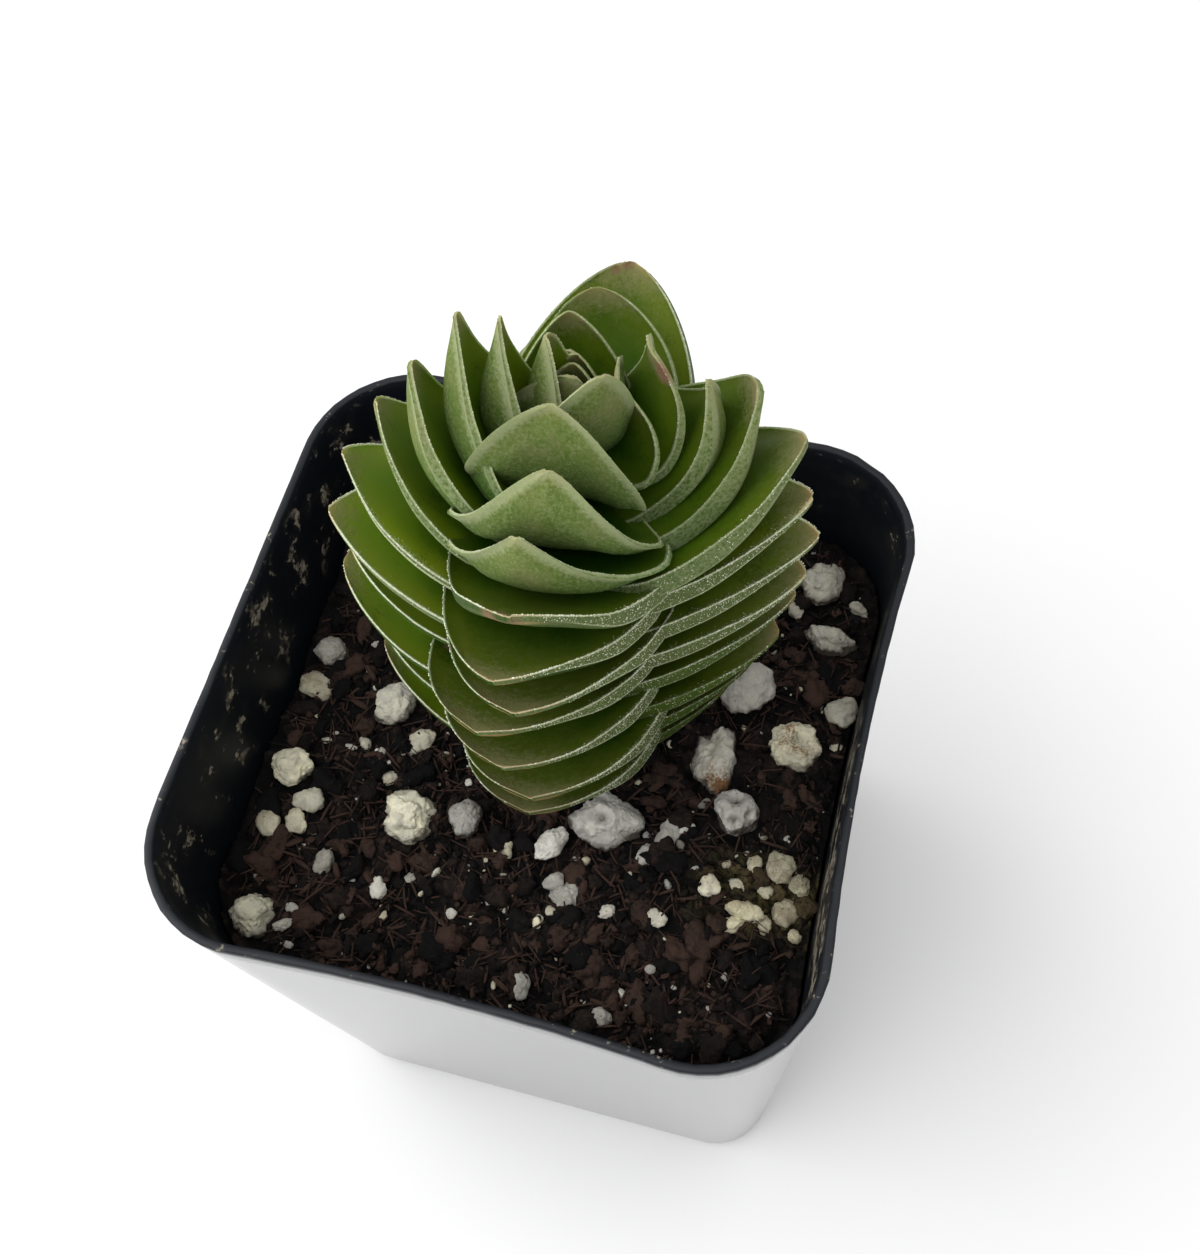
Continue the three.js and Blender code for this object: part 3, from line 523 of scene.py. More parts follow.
class Shader:
    """A material whose nodes are added by one method"""

    def __init__(self, name):
        self.material = bpy.data.materials.new(name)
        self.material.use_nodes = True
        self.tree = self.material.node_tree
        self.tree.nodes.clear()
        self.coordinates = self.node("ShaderNodeTexCoord").outputs["Object"]

    def node(self, kind, settings=None, values=None):
        """Adds a node: its settings are set first, then the values or links of its sockets"""
        made = self.tree.nodes.new(kind)
        for key, value in (settings or {}).items():
            setattr(made, key, value)
        for key, value in (values or {}).items():
            socket = made.inputs[key]
            if isinstance(value, Signal):
                value = value.socket
            if isinstance(value, bpy.types.NodeSocket):
                self.tree.links.new(value, socket)
            elif socket.type == "RGBA":
                socket.default_value = (*value, 1)
            else:
                socket.default_value = value
        return made

    def attributes(self, *names):
        """The numbers that a piece's mesh carries under these names"""
        settings = [{"attribute_name": name, "attribute_type": "GEOMETRY"} for name in names]
        return [Signal(self, self.node("ShaderNodeAttribute", each).outputs["Fac"]) for each in settings]

    def noise(self, size_mm, detail, roughness, distortion=0.0, place=None):
        """Noise from 0 to 1 whose lumps are about size_mm across"""
        values = {
            "Vector": place or self.coordinates,
            "Scale": 1 / (size_mm * MM),
            "Detail": detail,
            "Roughness": roughness,
            "Distortion": distortion,
        }
        return Signal(self, self.node("ShaderNodeTexNoise", None, values).outputs["Fac"])

    def cells(self, size_mm):
        """Distance to the nearest of points strewn about size_mm apart"""
        values = {"Vector": self.coordinates, "Scale": 1 / (size_mm * MM)}
        return Signal(self, self.node("ShaderNodeTexVoronoi", None, values).outputs["Distance"])

    def stretched(self, scale, turn=(0, 0, 0)):
        """The coordinates scaled and turned"""
        values = {"Vector": self.coordinates, "Scale": scale, "Rotation": turn}
        return self.node("ShaderNodeMapping", None, values).outputs["Vector"]

    def combined(self, *values):
        """A vector of three numbers"""
        return self.node("ShaderNodeCombineXYZ", None, dict(enumerate(values))).outputs["Vector"]

    def mix(self, share, low, high):
        """A colour that is low where share is 0 and high where it is 1"""
        settings = {"data_type": "RGBA", "blend_type": "MIX", "clamp_factor": True}
        return self.node("ShaderNodeMix", settings, {0: share, 6: low, 7: high}).outputs[2]

    def coated(self, tint, *coats):
        """A colour under coats, each of which is how much it covers and its own colour"""
        for share, coat in coats:
            tint = self.mix(share, tint, coat)
        return tint

    def near(self, place_mm, radius_mm):
        """1 at a place, falling to 0 at a radius"""
        values = {0: self.coordinates, 1: tuple(c * MM for c in place_mm)}
        made = self.node("ShaderNodeVectorMath", {"operation": "DISTANCE"}, values)
        return Signal(self, made.outputs["Value"]).between(radius_mm * MM, 0.35 * radius_mm * MM)

    def finish(self, bumps=(), **values):
        """Closes the material: bumps are (height, depth in mm) pairs"""
        sockets = {key.replace("_", " "): value for key, value in values.items()}
        normal = {}
        for height, depth_mm in bumps:
            inputs = {"Height": height, "Distance": depth_mm * MM, "Strength": 1.0, **normal}
            normal = {"Normal": self.node("ShaderNodeBump", None, inputs).outputs["Normal"]}
        surface = self.node("ShaderNodeBsdfPrincipled", None, {**sockets, **normal})
        self.node("ShaderNodeOutputMaterial", None, {"Surface": surface.outputs[0]})
        return self.material


def shade(tint, factor):
    """A darker or lighter colour"""
    return [min(channel * factor, 1) for channel in tint]


def plastic_material(settings):
    """Glossy black moulded plastic, with dried soil clinging inside, a few scuffs outside, and pale nicks along
    the lip that are partly painted glints
    """
    shader = Shader("nursery_plastic")
    inside, height, soiled = shader.attributes("inside", "height", "soiled")
    splash = shader.noise(3.4, 4, 0.62)
    specks = shader.noise(0.8, 4, 0.7)
    streak = shader.noise(1.6, 3, 0.6, place=shader.stretched((1, 1, 0.4)))
    scuff = shader.noise(0.45, 3, 0.6, place=shader.stretched((0.25, 0.25, 1)))
    waves = shader.noise(9, 1, 0.4)
    reach = splash * 0.55 + specks * 0.25 + streak * 0.2 + soiled * 0.045
    zone = height.between(65.4, 63.6) * height.between(53.0, 57.5)
    dirt = (reach.between(0.57, 0.605) * inside * zone).clamped()
    film = (splash.between(0.45, 0.7) * inside * zone * 0.12).clamped()
    brim = height.between(65.0, 65.6)
    # Pale nicks along the lip, in the dirt colour: partly scuffs, partly painted glints on the lip's edge
    nick_and_glint = brim * (specks * 0.6 + scuff * 0.4).between(0.58, 0.68)
    tint = shader.coated(
        settings.plastic,
        (specks, shade(settings.plastic, 1.5)),
        (film, shade(settings.dirt, 0.35)),
        (dirt, shader.mix(specks.between(0.35, 0.7), settings.damp, settings.dirt)),
        (nick_and_glint * 0.8, settings.dirt),
    )
    gloss = 0.3 + 0.1 * scuff + 0.5 * dirt + 0.3 * film + 0.15 * brim + 0.1 * inside
    return shader.finish(
        [(waves, 0.2), (scuff, 0.01), (dirt, 0.12)],
        Base_Color=tint,
        Roughness=gloss.clamped(),
        IOR=1.4,
        Coat_Weight=(1 - inside) * height.between(65.2, 64.6),
        Coat_Roughness=0.16,
        Coat_IOR=1.55,
    )


def soil_material(settings, name):
    """Damp peat with reddish bark in it, flecked with painted glints, with painted shade, near black, in the
    gaps between the clods
    """
    shader = Shader(name)
    gap, tone, moss = shader.attributes("gap", "tone", "moss")
    fine = shader.noise(0.35, 3, 0.6)
    thread = shader.noise(0.9, 3, 0.65, 1.5)
    patch = shader.noise(5.5, 3, 0.6)
    # Painted glints: tiny specks in the pale grains' colour
    glint = shader.noise(0.16, 1, 0.5).between(0.76, 0.84)
    share = tone * 0.55 + patch * 0.35 + thread * 0.35 - 0.12
    tint = shader.coated(
        settings.peat,
        (share.between(0.3, 0.62), settings.umber),
        ((share + fine * 0.25).between(0.62, 0.88), settings.bark),
        (moss * fine.between(0.3, 0.6) * 0.8, settings.moss),
        # Painted shade: near-black peat in the gaps between the clods and at the clods' feet
        ((gap * 0.85).clamped(), shade(settings.peat, 0.4)),
        (glint * 0.35, settings.grain),
    )
    return shader.finish([(thread, 0.2), (fine, 0.12)], Base_Color=tint, Roughness=0.93, Specular_IOR_Level=0.2)


def pumice_material(settings, name):
    """Pale stone with rusty spots and clinging soil, darker towards its foot, with painted shade in its pits and
    hollows
    """
    shader = Shader(name)
    warm, low, dirty, rusty = shader.attributes(*PUMICE_MARKS)
    pores = shader.cells(0.5)
    fine = shader.noise(0.22, 3, 0.6)
    broad = shader.noise(1.5, 3, 0.6)
    patch = shader.noise(2.4, 2, 0.5, place=shader.stretched((1, 1, 1), (0.4, 0.9, 0.2)))
    pits = pores.between(0.2, 0.08) * patch.between(0.4, 0.6)
    veil = dirty * (0.5 + 0.5 * (broad * 0.5 + patch * 0.4 + fine * 0.25).between(0.45, 0.68))
    # Soil clinging over the stone, a darkening towards its foot, and painted shade in its pits and hollows
    grime_and_shade = (pits * 0.35 + low * (0.35 + broad.between(0.35, 0.62)) + veil).clamped()
    tint = shader.coated(
        settings.white,
        ((warm + broad * 0.6 - 0.3).clamped(), settings.cream),
        (broad.between(0.6, 0.4) * 0.35, settings.ash),
        ((rusty * 1.3 * (patch * 0.6 + fine * 0.4).between(0.42, 0.62)).clamped(), settings.rust),
        (grime_and_shade * 0.94, settings.stain_and_shade),
    )
    bumps = [(1 - pits, 0.06), (fine, 0.06)]
    return shader.finish(bumps, Base_Color=tint, Roughness=0.95, Specular_IOR_Level=0.2)


def leaf_material(settings):
    """Fleshy green skin, satin above, downy on young outer faces, with a pale rim and a speckled margin; painted
    shade darkens the upper faces near the stem, and painted light brightens the leaves of the lit ranks
    """
    shader = Shader("leaf_skin")
    share, inset, up, low, side, broad, tone, young, olive, faint = shader.attributes(*BLADE_MARKS)
    margin, under = shader.attributes("margin", "under")
    cloud = shader.noise(3.4, 3, 0.55)
    mottle = shader.noise(0.6, 4, 0.65)
    grain = shader.noise(0.16, 3, 0.6)
    fuzz = shader.noise(0.26, 4, 0.75)
    streaks = shader.noise(0.35, 3, 0.6, place=shader.combined(side * MM, share * 0.004, tone * 0.05))
    specks = shader.cells(1.1)
    dots = shader.cells(0.15).between(0.45, 0.2)

    # Painted light: the less olive ranks, which the light falls on, glow as if it shone through them
    painted_light_through = 1 - olive
    # Painted shade: the upper face is deep green near the stem and turns fresh green further out
    far = (share + cloud * 0.3 - 0.15 + tone * 0.08).clamped()
    thin = (inset - mottle * 1.5).between(2.2, -0.3)
    coarse = (mottle * 0.5 + fuzz * 0.5).between(0.46, 0.62) * share.between(0.45, 0.95) * (0.14 + 0.3 * olive)
    tipped = (share + mottle * 0.16 + fuzz * 0.14).between(0.98, 1.14)
    upper = shader.coated(
        settings.deep,
        (far.between(0.3, 0.85), settings.fresh),
        (far.between(0.3, 0.8) * painted_light_through * painted_light_through, settings.painted_light_green),
        (far.between(0.5, 0.9) * olive * 0.85, settings.ripe),
        # Yellow-green thin skin by the margins, brighter on the lit ranks with painted light shining through
        (thin * (0.15 + 0.45 * painted_light_through), settings.glow),
        ((cloud * 0.5 + fuzz * 0.5).between(0.46, 0.34) * 0.45, settings.deep),
        (coarse, shader.mix(0.5, settings.ripe, settings.dusk)),
        (specks.between(0.05, 0.03) * 0.6, settings.band),
        (young * 0.4, settings.deep),
        (tipped * 0.65, settings.dusk),
    )
    outer = shader.coated(
        settings.outer,
        (young, shader.mix((share + mottle * 0.3).between(0.4, 1.15), settings.leafy, settings.velvet)),
        ((fuzz * 0.8 + streaks * 0.2).between(0.45, 0.66) * 0.3 * young, settings.bloom),
        ((fuzz * 0.7 + cloud * 0.3).between(0.5, 0.36) * 0.4, settings.leafy),
        (cloud.between(0.48, 0.66) * share.between(0.55, 1.0) * young * 0.42, settings.dusk),
    )
    warm = share.between(0.93, 1.0) * inset.between(0.9, 0.1) * (0.5 - 0.25 * young)
    face = shader.coated(upper, (under, outer), (warm.clamped(), settings.tan))

    speckled = 0.3 + dots * 0.3 + fuzz.between(0.35, 0.65) * 0.45
    flank = shader.coated(
        settings.outer,
        (broad, shader.mix(speckled, settings.outer, settings.band)),
        (faint, shader.mix(fuzz.between(0.3, 0.7), settings.leafy, settings.ripe)),
        (young, shader.mix(0.35 * fuzz.between(0.3, 0.6), outer, settings.bloom)),
    )

    ragged = mottle * 0.08 + grain * 0.12
    above = (1 - margin) * (1 - under)
    edge = margin * (up - ragged).between(0.11, 0.0) + above * (inset - ragged).between(0.1, 0.0)
    edge = edge * (1 - broad * share.between(0.97, 0.8) * 0.35) * (1 - young * 0.5) * (1 - faint)
    hem = margin * broad * (low - ragged).between(0.08, 0.0) * share.between(0.95, 0.8) * (1 - young) * 0.5
    spill = broad * (1 - margin) * (1 - under) * (1 - young)
    spill = spill * (inset - mottle * 0.8).between(0.35, -0.15) * share.between(0.35, 0.6) * dots * 0.6
    rim = shader.coated(
        settings.rim,
        ((share + mottle * 0.05).between(0.94, 1.02) * 0.6, settings.tan),
        (young * 0.45, settings.bloom),
    )
    scarred = mottle.between(0.3, 0.5) * 0.6 + 0.4
    tint = shader.coated(
        face,
        (margin, flank),
        (young * under * (inset - fuzz * 0.5).between(0.35, -0.15) * 0.6, settings.bloom),
        ((edge + hem + spill).clamped(), rim),
        *(((shader.near(spot, radius) * scarred).clamped(), settings.scar) for spot, radius in scars()),
    )
    downy = (margin * broad + under * young + edge + tipped).clamped()
    return shader.finish(
        [(mottle, 0.03), (fuzz * downy, 0.08), (grain, 0.015)],
        Base_Color=tint,
        Roughness=(0.42 + 0.12 * mottle + 0.36 * downy).clamped(),
        Subsurface_Weight=0.15,
        Subsurface_Radius=(0.4, 0.8, 0.15),
        Subsurface_Scale=0.0012,
        Specular_IOR_Level=0.16,
    )


def papilla_material(settings):
    """Water-clear to white swellings of the skin"""
    shader = Shader("papillae")
    cloud = shader.noise(2.2, 3, 0.6)
    grain = shader.noise(0.2, 2, 0.5)
    tint = shader.mix(cloud.between(0.35, 0.65), settings.rim, settings.down)
    gloss = 0.45 + 0.15 * cloud
    return shader.finish([(grain, 0.01)], Base_Color=tint, Roughness=gloss, Specular_IOR_Level=0.5)


def floor_material(settings):
    """Matt pale floor, very faintly clouded"""
    shader = Shader("pale_floor")
    tint = shader.mix(shader.noise(60, 2, 0.5), settings.floor, shade(settings.floor, 1.02))
    return shader.finish(Base_Color=tint, Roughness=0.7, Specular_IOR_Level=0.1)


# Shapes


def stored(form, name="pattern"):
    """Turns a bmesh into a mesh"""
    mesh = bpy.data.meshes.new(name)
    form.to_mesh(mesh)
    form.free()
    return mesh


def added(name, data):
    """Puts an object with this data into the scene"""
    made = bpy.data.objects.new(name, data)
    bpy.context.scene.collection.objects.link(made)
    return made


def piece(name, form, material, replaced=(), sharp=None):
    """Turns a bmesh in millimetres into a finished piece that rides on the frame"""
    bmesh.ops.transform(form, matrix=Matrix.Scale(MM, 4), verts=form.verts)
    mesh = stored(form, name)
    for face in mesh.polygons:
        face.use_smooth = True
    if sharp is not None:
        mesh.set_sharp_from_angle(angle=math.radians(sharp))
    mesh.materials.append(material)
    made = added(name, mesh)
    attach(made, BODY)
    if replaced:
        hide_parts(*replaced)
    return made


def cut(made, cutters):
    """Cuts closed bmesh forms in millimetres out of a finished piece"""
    bmesh.ops.transform(cutters, matrix=Matrix.Scale(MM, 4), verts=cutters.verts)
    tool_mesh = stored(cutters, "cutter")
    tool = added("cutter", tool_mesh)
    modifier = made.modifiers.new("cut", "BOOLEAN")
    modifier.operation = "DIFFERENCE"
    modifier.solver = "EXACT"
    modifier.object = tool
    with bpy.context.temp_override(object=made, active_object=made, selected_objects=[made]):
        bpy.ops.object.modifier_apply(modifier=modifier.name)
    bpy.data.objects.remove(tool)
    bpy.data.meshes.remove(tool_mesh)


def square_up(vert, half, corner, height, pot):
    """Moves a point, at its own angle, onto a rounded square of the pot's form"""
    quarter, rest = divmod(math.atan2(vert.co.y, vert.co.x) % (2 * math.pi) / RIGHT_ANGLE, 1)
    quarter = int(quarter) % 4
    corner = min(corner, ROUNDEST * half)
    arm = half - corner
    turn = rest * RIGHT_ANGLE
    flat = math.atan2(arm, half)
    bow = (height / pot.height * MM) * (half / pot_half(height, pot)) ** 4
    if flat <= turn <= RIGHT_ANGLE - flat:
        swing = (turn - flat) / (RIGHT_ANGLE - 2 * flat) * RIGHT_ANGLE
        spot = Vector((arm + corner * math.cos(swing), arm + corner * math.sin(swing)))
    else:
        first = turn < flat
        run = half * math.tan(turn if first else RIGHT_ANGLE - turn)
        bow *= SIDE_BOW[SIDE_NAMES[(quarter + 3) % 4 if first else quarter]]
        out = half - bow * (1 - (run / max(arm, 0.01)) ** 2)
        spot = Vector((out, run) if first else (run, out))
    spot.rotate(Matrix.Rotation(quarter * RIGHT_ANGLE, 2))
    vert.co.x, vert.co.y = spot


def pot_half(height, pot):
    """Half the pot's width at a height"""
    return lerp(pot.base_half, pot.rim_half, height * MM / pot.height) / MM


def soiling(x, y):
    """How much soil clings to the wall: more of it on the left, and most on the right near the front"""
    return float(x < -20) + 2.1 * float(x > 20 and y < 4) - 0.5


def pot_corner(half, height, pot):
    """The corner radius of a rounded square of this half-width at a height"""
    outer = lerp(pot.base_corner, pot.rim_corner, height * MM / pot.height) / MM
    return max(outer - (pot_half(height, pot) - half), 1)


def spun_square(profile, steps, pot):
    """Spins a closed profile of (half-width, height) points and shapes it to the pot's rounded square"""
    form = bmesh.new()
    points = [form.verts.new((half, 0, height)) for half, height in profile]
    edges = [form.edges.new(pair) for pair in zip(points, points[1:])]
    bmesh.ops.spin(
        form, geom=points + edges, cent=(0, 0, 0), axis=(0, 0, 1), angle=2 * math.pi, steps=steps,
        use_merge=True,
    )
    bmesh.ops.remove_doubles(form, verts=form.verts, dist=1e-4)
    for vert in form.verts:
        half = math.hypot(vert.co.x, vert.co.y)
        if half > 1e-3:
            square_up(vert, half, pot_corner(half, vert.co.z, pot), vert.co.z, pot)
    bmesh.ops.recalc_face_normals(form, faces=form.faces)
    return form


def soil_height(x, y):
    """The soil's height, with its broad waves and the hollow round the stem"""
    waves = math.sin(0.31 * x + 0.9) * math.cos(0.27 * y - 0.4) + 0.6 * math.sin(0.63 * x - 0.52 * y + 2.1)
    from_stem = math.hypot(x - STEM_FOOT.x, y - STEM_FOOT.y) / HOLLOW_RADIUS
    return SOIL_LEVEL + SOIL_RELIEF * waves - HOLLOW_DEPTH * math.exp(-(from_stem**4))


def clod_form(x, y):
    """How high the surface stands in its clods, and how deep in a gap between them, each from 0 to 1"""
    bent = Vector((x + noise.noise(Vector((x, y, 3)) * 0.7), y + noise.noise(Vector((x, y, 8)) * 0.7), 0))
    high, gap = 0, 0
    for size, weight in CLOD_SIZES:
        nearest, second = noise.voronoi(bent / size)[0][:2]
        high += weight * (1 - nearest)
        gap = max(gap, weight * smooth(second - nearest, 0.22, 0))
    return high, gap


def crumbled_height(x, y, relief):
    """The soil's height with its clods and small lumps"""
    spot = Vector((x, y, 0))
    coarse = noise.fractal(spot * 0.35, 0.9, 2.1, 3)
    fine = noise.fractal(spot * 1.9 + Vector((9, 4, 2)), 0.8, 2.2, 3)
    high, gap = clod_form(x, y)
    return soil_height(x, y) + relief * (0.75 * coarse + 0.3 * fine + 1.1 * (high - 0.6) - 0.75 * gap)


def pair_height(pair):
    """How high a pair of leaves stands on the stem"""
    if pair <= CROWDED_FROM_PAIR:
        return LOWEST_PAIR_HEIGHT + PAIR_SPACING * pair
    share = (pair - CROWDED_FROM_PAIR) / (PAIR_COUNT - 1 - CROWDED_FROM_PAIR)
    return LOWEST_PAIR_HEIGHT + PAIR_SPACING * CROWDED_FROM_PAIR + CROWN_HEIGHT * (1 - (1 - share) ** 2)


def stem_frame(height):
    """The stem's middle line as a place and a lean at a height"""
    share = (height - STEM_FOOT.z) / (STEM_TOP.z - STEM_FOOT.z)
    place = (1 - share) ** 2 * STEM_FOOT + 2 * share * (1 - share) * STEM_BEND + share**2 * STEM_TOP
    heading = (1 - share) * (STEM_BEND - STEM_FOOT) + share * (STEM_TOP - STEM_BEND)
    lean = Vector((0, 0, 1)).rotation_difference(heading.normalized())
    return Matrix.Translation(place) @ lean.to_matrix().to_4x4()


def add_rod(form, steps, radii, depth, matrix):
    """Adds a closed round rod, about the middle of its length"""
    bmesh.ops.create_cone(
        form, cap_ends=True, segments=steps, radius1=radii[0], radius2=radii[1], depth=depth, matrix=matrix
    )


def divide(form, axis, parts):
    """Cuts the edges of a unit form that run along an axis into equal parts"""
    lengthwise = [edge for edge in form.edges if abs(edge.verts[0].co[axis] - edge.verts[1].co[axis]) > 0.5]
    bmesh.ops.subdivide_edges(form, edges=lengthwise, cuts=parts - 1, use_grid_fill=True)


class Blade:
    """One leaf: where each point of a flat unit blade goes"""

    def __init__(self, pair, side, settings):
        for name, stations in RANKS[side].items():
            setattr(self, name, along(stations, pair))
        self.side = side
        self.long = math.hypot(self.reach, self.rise)
        self.half_width = self.aspect * self.long
        self.plumb = along(PLUMB, pair)
        self.undercut = along(UNDERCUT[side], pair)
        self.thin = along(MARGIN_SHARE[side], pair)
        self.faint = along(FAINT[side], pair) if side in FAINT else 0
        self.broad = along(BROAD[side], pair)
        self.young = smooth(pair, *DOWNY_PAIRS)
        self.tip = settings.tip / MM
        self.ripple = settings.ripple / MM
        self.ridge = settings.ridge / MM
        half = PAIR_SIDES[pair % 2].index(side)
        turn = RANK_TURN + SWINGS[side].get(pair, 0) + 90 * (pair % 2) + 180 * half
        upright = Matrix.Translation((0, 0, self.rise)) @ Matrix.Rotation(math.radians(self.roll), 4, "X")
        upright = upright @ Matrix.Translation((0, 0, -self.rise))
        self.place = stem_frame(pair_height(pair)) @ Matrix.Rotation(math.radians(turn), 4, "Z") @ upright
        self.seed = Vector((pair * 7.3, half * 19.1 + 3, 5))

    def width(self, share):
        """Half the blade's width"""
        fullness = lerp(self.waist, 1, smooth(share, 0, self.widest))
        return self.half_width * fullness * (1 - share**self.shoulder) ** self.taper + TIP_HALF_WIDTH

    def inset(self, share, across):
        """How far a point lies inside the margin"""
        ahead, behind = min(share + 0.01, 1), share - 0.01
        slope = (self.width(ahead) - self.width(behind)) / ((ahead - behind) * self.long)
        return (1 - abs(across)) * self.width(share) / math.hypot(1, slope)

    def thickness(self, share, across):
        """The blade's thickness without its belly"""
        full = lerp(self.flank, self.tip, smooth(share, *THINNING))
        return full * lerp(1, self.thin, smooth(self.inset(share, across), MARGIN_REACH, 0.05))

    def point(self, share, across, depth):
        """share runs from stem to tip, across from margin to margin, depth from upper to under face"""
        control = Vector((self.turn_up * self.reach, FOOT_RISE * self.rise))
        end = Vector((self.reach, self.rise))
        middle = 2 * share * (1 - share) * control + share**2 * end
        heading = ((1 - share) * control + share * (end - control)).normalized()
        square = Vector((heading.y, -heading.x))
        width = self.width(share)
        uneven = self.ripple * share * noise.noise(self.seed + Vector((share * 5, across * 1.5, 0)))
        ripple = self.wave * math.sin(WAVE_TURNS * across + WAVE_START) * (1 - share**WAVE_FADING) + uneven
        ridge = self.ridge * smooth(self.inset(share, across), 0.42, 0.08) * (1 - depth)
        lift = (self.cup * width + ripple) * across * across + ridge
        belly = BELLY * self.flank * (1 - across * across) * (1 - share**3)
        under = square.lerp(Vector((0, -1)), self.plumb).normalized()
        spot = middle - lift * square + depth * (self.thickness(share, across) + belly) * under
        bulge = 0.04 * math.sin(math.pi * depth) - self.undercut * depth
        side = width * across + math.copysign(bulge, across) * smooth(abs(across), 0.9, 1)
        return self.place @ Vector((spot.x, side, spot.y))


def blades(settings):
    """All the leaves, from the lowest pair up"""
    return [Blade(pair, side, settings) for pair in range(PAIR_COUNT) for side in PAIR_SIDES[pair % 2]]


def scars():
    """Places and radii of the healed damage"""
    settings = bpy.context.scene.succulent_leaf
    places = ((Blade(pair, side, settings), share, across, size) for pair, side, share, across, size in SCARS)
    return [(blade.point(share, across, 0), size) for blade, share, across, size in places]


# What each point of a leaf knows: its share of the length, and millimetres inside the margin, under the
# upper edge, above the lower one and across the blade; then whether its side has a broad margin, the leaf's
# own tone, how young it is, how olive, and how faint its lines are
BLADE_MARKS = ("share", "inset", "up", "low", "side", "broad", "tone", "young", "olive", "faint")


def unit_blade(length_steps, width_steps, band_steps):
    """A flat slab from which every leaf is bent, with its margins marked"""
    form = bmesh.new()
    margin = form.loops.layers.float.new("margin")
    under = form.loops.layers.float.new("under")
    bmesh.ops.create_grid(form, x_segments=length_steps, y_segments=width_steps, size=0.5)
    bmesh.ops.solidify(form, geom=form.faces[:], thickness=1)
    divide(form, 2, band_steps)
    top = max(vert.co.z for vert in form.verts)
    bmesh.ops.translate(form, verts=form.verts, vec=(0, 0, -top))
    bmesh.ops.recalc_face_normals(form, faces=form.faces)
    for face in form.faces:
        on_margin = abs(face.normal.z) < 0.5
        for loop in face.loops:
            loop[margin] = float(on_margin)
            loop[under] = float(face.normal.z < -0.5)
    return stored(form)


def add_blade(form, template, blade, rng, layers):
    """Adds a leaf, bent from the flat slab"""
    first = len(form.verts)
    form.from_mesh(template)
    form.verts.ensure_lookup_table()
    tone = rng.random()
    for vert in form.verts[first:]:
        share = lerp(LEAF_FOOT, 1, math.sqrt(min(max(vert.co.x + 0.5, 0), 1)))
        across = math.copysign(1 - (1 - min(abs(2 * vert.co.y), 1)) ** 1.7, vert.co.y)
        depth = smooth(-vert.co.z, 0, 1)
        thickness = blade.thickness(share, across)
        broad = blade.broad * smooth(across * BROAD_SIDE[blade.side], -0.15, 0.15)
        values = (
            share, blade.inset(share, across), depth * thickness, (1 - depth) * thickness,
            across * blade.width(share), broad, tone, blade.young, OLIVE[blade.side], blade.faint,
        )
        for layer, value in zip(layers, values):
            vert[layer] = value
        vert.co = blade.point(share, across, depth)


def add_stem(form):
    """Adds the bent stem that the leaves sit on"""
    round_steps, long_steps = STEM_STEPS
    add_rod(form, round_steps, (1, 1), 1, Matrix.Translation((0, 0, 0.5)))
    divide(form, 2, long_steps)
    for vert in form.verts:
        share = vert.co.z
        radius = lerp(STEM_RADIUS, STEM_TIP_RADIUS, share**3)
        place = stem_frame(lerp(STEM_FOOT.z, STEM_TOP.z, share))
        vert.co = place @ Vector((vert.co.x * radius, vert.co.y * radius, 0))


class Stone:
    """A rounded stone: where each point of a unit ball goes"""

    def __init__(self, place, sizes, turn, wobble, roughness, lumps=0.0, seed=0, dents=()):
        self.place = Matrix.Translation(place) @ Matrix.Rotation(math.radians(turn), 4, "Z")
        self.halves = Vector(sizes) / 2
        self.wobble = wobble
        self.roughness = roughness
        self.lumps = lumps
        self.shift = Vector((seed * 1.7, seed * 0.6, seed * 2.3))
        self.dents = [(Vector(way).normalized(), wide, deep) for way, wide, deep in dents]

    def point(self, spot):
        waves = zip(STONE_WAVES, spot, self.wobble)
        swell = 1 + self.roughness * sum(math.sin(f * c + w) for f, c, w in waves)
        if self.lumps:
            shape = spot * self.halves / min(self.halves) + self.shift
            swollen = noise.fractal(shape * 1.1, 0.9, 2.1, 4) - 0.7 * abs(noise.noise(shape * 1.7))
            swell += self.lumps * swollen
        for way, wide, deep in self.dents:
            swell -= deep * smooth((spot - way).length, 1.5 * wide, 0.25 * wide)
        return self.place @ (spot * self.halves * swell)


class Fibre:
    """A bent sliver of bark: where each point of a unit bar goes"""

    def __init__(self, place, sizes, bend, tilt):
        self.place = Matrix.Translation(place) @ Euler(tilt).to_matrix().to_4x4()
        self.sizes = Vector(sizes)
        self.bend = bend

    def point(self, spot):
        pointed = Vector((1, 1 - 1.6 * spot.x**2, 1))
        arch = Vector((0, 0, self.bend * (0.25 - spot.x**2)))
        return self.place @ (spot * pointed * self.sizes + arch)


def ball(detail):
    """A unit ball"""
    form = bmesh.new()
    bmesh.ops.create_icosphere(form, subdivisions=detail, radius=1)
    return stored(form)


def bar():
    """A unit bar in four lengths"""
    form = bmesh.new()
    bmesh.ops.create_cube(form, size=1)
    divide(form, 0, 4)
    return stored(form)


def joined(copies, marks, batch=50):
    """Joins copies of patterns: each is a pattern, the shape that places its points, and its marks"""
    form = bmesh.new()
    for name in marks:
        form.verts.layers.float.new(name)
    for start in range(0, len(copies), batch):
        group = bmesh.new()
        layers = [group.verts.layers.float.new(name) for name in marks]
        for pattern, shape, values in copies[start:start + batch]:
            first = len(group.verts)
            group.from_mesh(pattern)
            group.verts.ensure_lookup_table()
            for vert in group.verts[first:]:
                vert.co = shape.point(vert.co)
                for layer, value in zip(layers, values):
                    vert[layer] = value
        mesh = stored(group)
        form.from_mesh(mesh)
        bpy.data.meshes.remove(mesh)
    return form


# Pieces


